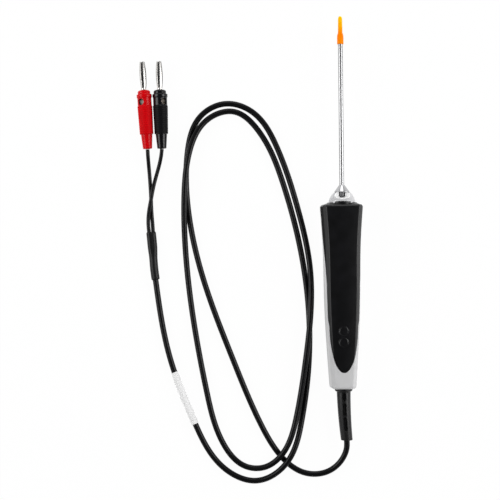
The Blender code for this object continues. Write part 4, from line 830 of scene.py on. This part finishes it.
# The two stacking plugs: glossy moulded bodies, red and black, with a smooth tail, a matt ribbed
# grip and a collar, over turned brass cores. A cross hole goes through body and core.
plug_bodies = {
    "red": finish(
        "red_plug_body", (0.56, 0.0015, 0.004), 0.26, 0.0006, 0.0000003, drift=0.04, gloss=0.11
    ),
    "black": finish(
        "black_plug_body", (0.004, 0.004, 0.005), 0.22, 0.0006, 0.0000005, gloss=0.26
    ),
}
plug_grips = {
    "red": finish(
        "red_plug_grip", (0.56, 0.0015, 0.004), 0.5, 0.0006, 0.000001, drift=0.06, gloss=0.04
    ),
    "black": finish("black_plug_grip", (0.004, 0.004, 0.005), 0.5, 0.0006, 0.000001, gloss=0.08),
}
brass = finish("dull_turned_brass", (0.34, 0.31, 0.27), 0.32, 0.0003, 0.000001, metallic=1.0)
zinc = finish("dull_zinc_plate", (0.55, 0.56, 0.58), 0.35, 0.0003, 0.000005, metallic=1.0)
# Where each lies: the middle of its tail, its heading and its roll
plug_z = 0.00495
plug_places = {
    "red": ((-0.1251, 0.0968), math.radians(3.1), math.radians(-31)),
    "black": ((-0.11585, 0.0969), math.radians(1.5), math.radians(40)),
}
plug_length, tail_length, grip_length, tail_bore = 0.0380, 0.0095, 0.0182, 0.00155
ribs, rib_depth, grip_radius, grip_flare = 13, 0.00011, 0.0044, 0.00045
hole_at, hole_radius, hole_reach = 0.0303, 0.00212, 0.006


def in_place(points, colour):
    """Points of a plug in its own frame, where it points along y from its tail, turned about that
    axis by its roll, then about the vertical by its heading, and moved to its tail."""
    (x, y), heading, roll = plug_places[colour]
    side = points[..., 0] * math.cos(roll) + points[..., 2] * math.sin(roll)
    up = points[..., 2] * math.cos(roll) - points[..., 0] * math.sin(roll)
    east = x + side * math.cos(heading) - points[..., 1] * math.sin(heading)
    north = y + side * math.sin(heading) + points[..., 1] * math.cos(heading)
    return np.stack([east, north, plug_z + up], axis=-1)


def by_axis(points, colour):
    """Points in place, as their distance along the plug from its tail and their offset from its
    axis."""
    (x, y), heading, _ = plug_places[colour]
    axis = np.array((-math.sin(heading), math.cos(heading), 0.0))
    from_tail = points - (x, y, plug_z)
    run = from_tail @ axis
    return run, from_tail - run[:, None] * axis


def dress(node, material):
    """Gives a solid that stays its material."""
    nodes[node].data.materials.clear()
    nodes[node].data.materials.append(material)


along = np.linspace(0, ribs, ribs * 12 + 1)
rib = (1 - np.abs(np.sin(math.pi * along)) ** 0.7) * rib_depth
radius = grip_radius + grip_flare * along / ribs - rib
grip = np.stack([tail_length + along * grip_length / ribs, radius], axis=1)
grip_end = tail_length + grip_length
tail = fillet([
    (0.0130, tail_bore, 0), (0.0, tail_bore, 0.0002), (0.0, 0.00295, 0.0006),
    (tail_length - 0.0002, 0.00372, 0.0001), (tail_length, 0.0042, 0),
])
head = fillet([
    (grip_end, 0.0047, 0), (grip_end + 0.0003, 0.00455, 0.0002), (0.0329, 0.00455, 0.0003),
    (0.0334, 0.0049, 0.0003), (0.0353, 0.0049, 0.0004), (0.0354, 0.0041, 0.0003),
    (0.0374, 0.0040, 0.0008), (plug_length, 0.0030, 0.0003), (plug_length, 0.0023, 0.0001),
    (0.0355, 0.0023, 0), (0.0355, 0.0033, 0), (0.0130, 0.0033, 0),
], 6)
plug_grid = turned(np.concatenate([tail, grip[1:-1], head]), 96, (0, 0))
hole_profile = [
    (-hole_reach, 0.0), (-hole_reach, hole_radius), (hole_reach, hole_radius), (hole_reach, 0.0),
]
hole_grid = turned(hole_profile, 64, (0, 0))[..., [0, 2, 1]] + (0, hole_at, 0)
plug_sleeves = {}
for colour, body in plug_bodies.items():
    sleeve = skin(f"plug_body_{colour}", in_place(plug_grid, colour), body, loop=True)
    drill = skin(f"drill_{colour}", in_place(hole_grid, colour), body)
    cross = sleeve.modifiers.new("cross_hole", "BOOLEAN")
    cross.operation, cross.solver, cross.object = "DIFFERENCE", "EXACT", drill
    seen = sleeve.evaluated_get(bpy.context.evaluated_depsgraph_get())
    drilled = bpy.data.meshes.new_from_object(seen)
    sleeve.modifiers.clear()
    sleeve.data = drilled
    bpy.data.objects.remove(drill)
    run, _ = by_axis(faces_of(drilled)[1], colour)
    give_faces(drilled, (run > tail_length) & (run < grip_end), plug_grips[colour])
    plug_sleeves[colour] = sleeve
    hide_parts(f"plug_{colour}_sleeve")
    for piece, material in (("core", brass), ("wire_screw", zinc), ("lead_end", jacket)):
        dress(f"plug_{colour}_{piece}", material)


# The spring pins, bright plated outside, with painted shade on their inner faces: a root in the
# core, a base ring, and four strips that bow out round a hollow. A gap between two strips faces up.
plated = finish(
    "bright_nickel_plate", (0.56, 0.55, 0.53), 0.32, 0.0003, 0.0000003, metallic=1.0, drift=0.02
)
# A near-black finish: painted shade for the faces inside the pin's hollow.
hollow_shade = finish("painted_shade_inside", (0.03, 0.03, 0.03), 0.6, 0.0003, 0.000001, gloss=0.1)
pin_base, pin_length, strip_wall = plug_length + 0.0003, 0.0182, 0.00038
strip_root, strip_bow, strip_part, gap_turn = 0.00151, 0.00069, 0.60, math.radians(14)
strip_foot = 0.0006
pin_foot, ring_top = pin_base - 0.0044, pin_base + 0.0012
root_profile = fillet([
    (pin_foot, 0.0, 0), (pin_foot, 0.0012, 0.0002), (pin_base, 0.0012, 0.0001),
    (pin_base, 0.0016, 0.0002), (pin_base + 0.0009, 0.0016, 0.0002),
    (ring_top, 0.00141, 0.0001), (ring_top, 0.0, 0),
])
share = np.linspace(0, 1, 41)[:, None]
bow = strip_root + strip_bow * np.sin(math.pi * share) ** 0.8
edge = np.clip((1 - share) / 0.03, 0.35, 1) * strip_wall
fan = np.linspace(-1, 1, 11) * strip_part * math.pi / 4
strip_angle = np.concatenate([fan, fan[::-1]])[None]
strip_radius = np.concatenate(
    [np.repeat(bow, 11, axis=1), np.repeat(bow - edge, 11, axis=1)], axis=1
)
strip_y = np.broadcast_to(
    pin_base + strip_foot + (pin_length - strip_foot) * share, strip_radius.shape
)
pins = {}
for colour, (_, _, roll) in plug_places.items():
    grids = [turned(root_profile, 48, (0, 0))]
    for i in range(4):
        angle = strip_angle + (i + 0.5) * math.pi / 2 - roll - gap_turn
        strip = [strip_radius * np.sin(angle), strip_y, strip_radius * np.cos(angle)]
        grids.append(np.stack(strip, axis=-1))
    pin = skin(f"spring_pin_{colour}", [in_place(grid, colour) for grid in grids], plated)
    normals, middles = faces_of(pin.data)
    _, outwards = by_axis(middles, colour)
    # Faces that look into the hollow take the dark finish: painted shade.
    inner = (normals * outwards).sum(axis=1) < -0.3 * np.linalg.norm(outwards, axis=1)
    give_faces(pin.data, inner, hollow_shade)
    pins[colour] = pin
    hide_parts(f"plug_{colour}_pin")


# What stands inside the handle and the sheath: screws, nut, saddle, splices, cores and element.
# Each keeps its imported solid, in a finish that suits it.
ceramic = finish("white_ceramic", (0.86, 0.85, 0.82), 0.5, 0.0002, 0.000004, drift=0.03)
core_red = finish("red_core_insulation", (0.60, 0.02, 0.02), 0.4, 0.0004, 0.00001)
core_black = finish("black_core_insulation", (0.02, 0.02, 0.02), 0.4, 0.0004, 0.00001)
inside = {
    "housing_screw_1": zinc, "housing_screw_2": zinc, "saddle_screw_1": zinc,
    "saddle_screw_2": zinc, "cone_nut": plated, "cable_saddle": shell_grey,
    "splice_sleeve_1": shrunk, "splice_sleeve_2": shrunk, "cable_core_red": core_red,
    "cable_core_black": core_black, "cable_stub": jacket, "rtd_element": ceramic,
    "element_wire_1": ceramic, "element_wire_2": ceramic,
}
for name, material in inside.items():
    dress(name, material)


# The free cords: the cable from the boot to the Y sleeve, and the two leads from there to their
# plugs. For each lead, the pieces on it are gathered.
for colour, line in lead_lines.items():
    pieces = [nodes[f"plug_{colour}_{piece}"] for piece in ("core", "wire_screw", "lead_end")]
    pieces += [plug_sleeves[colour], pins[colour]]
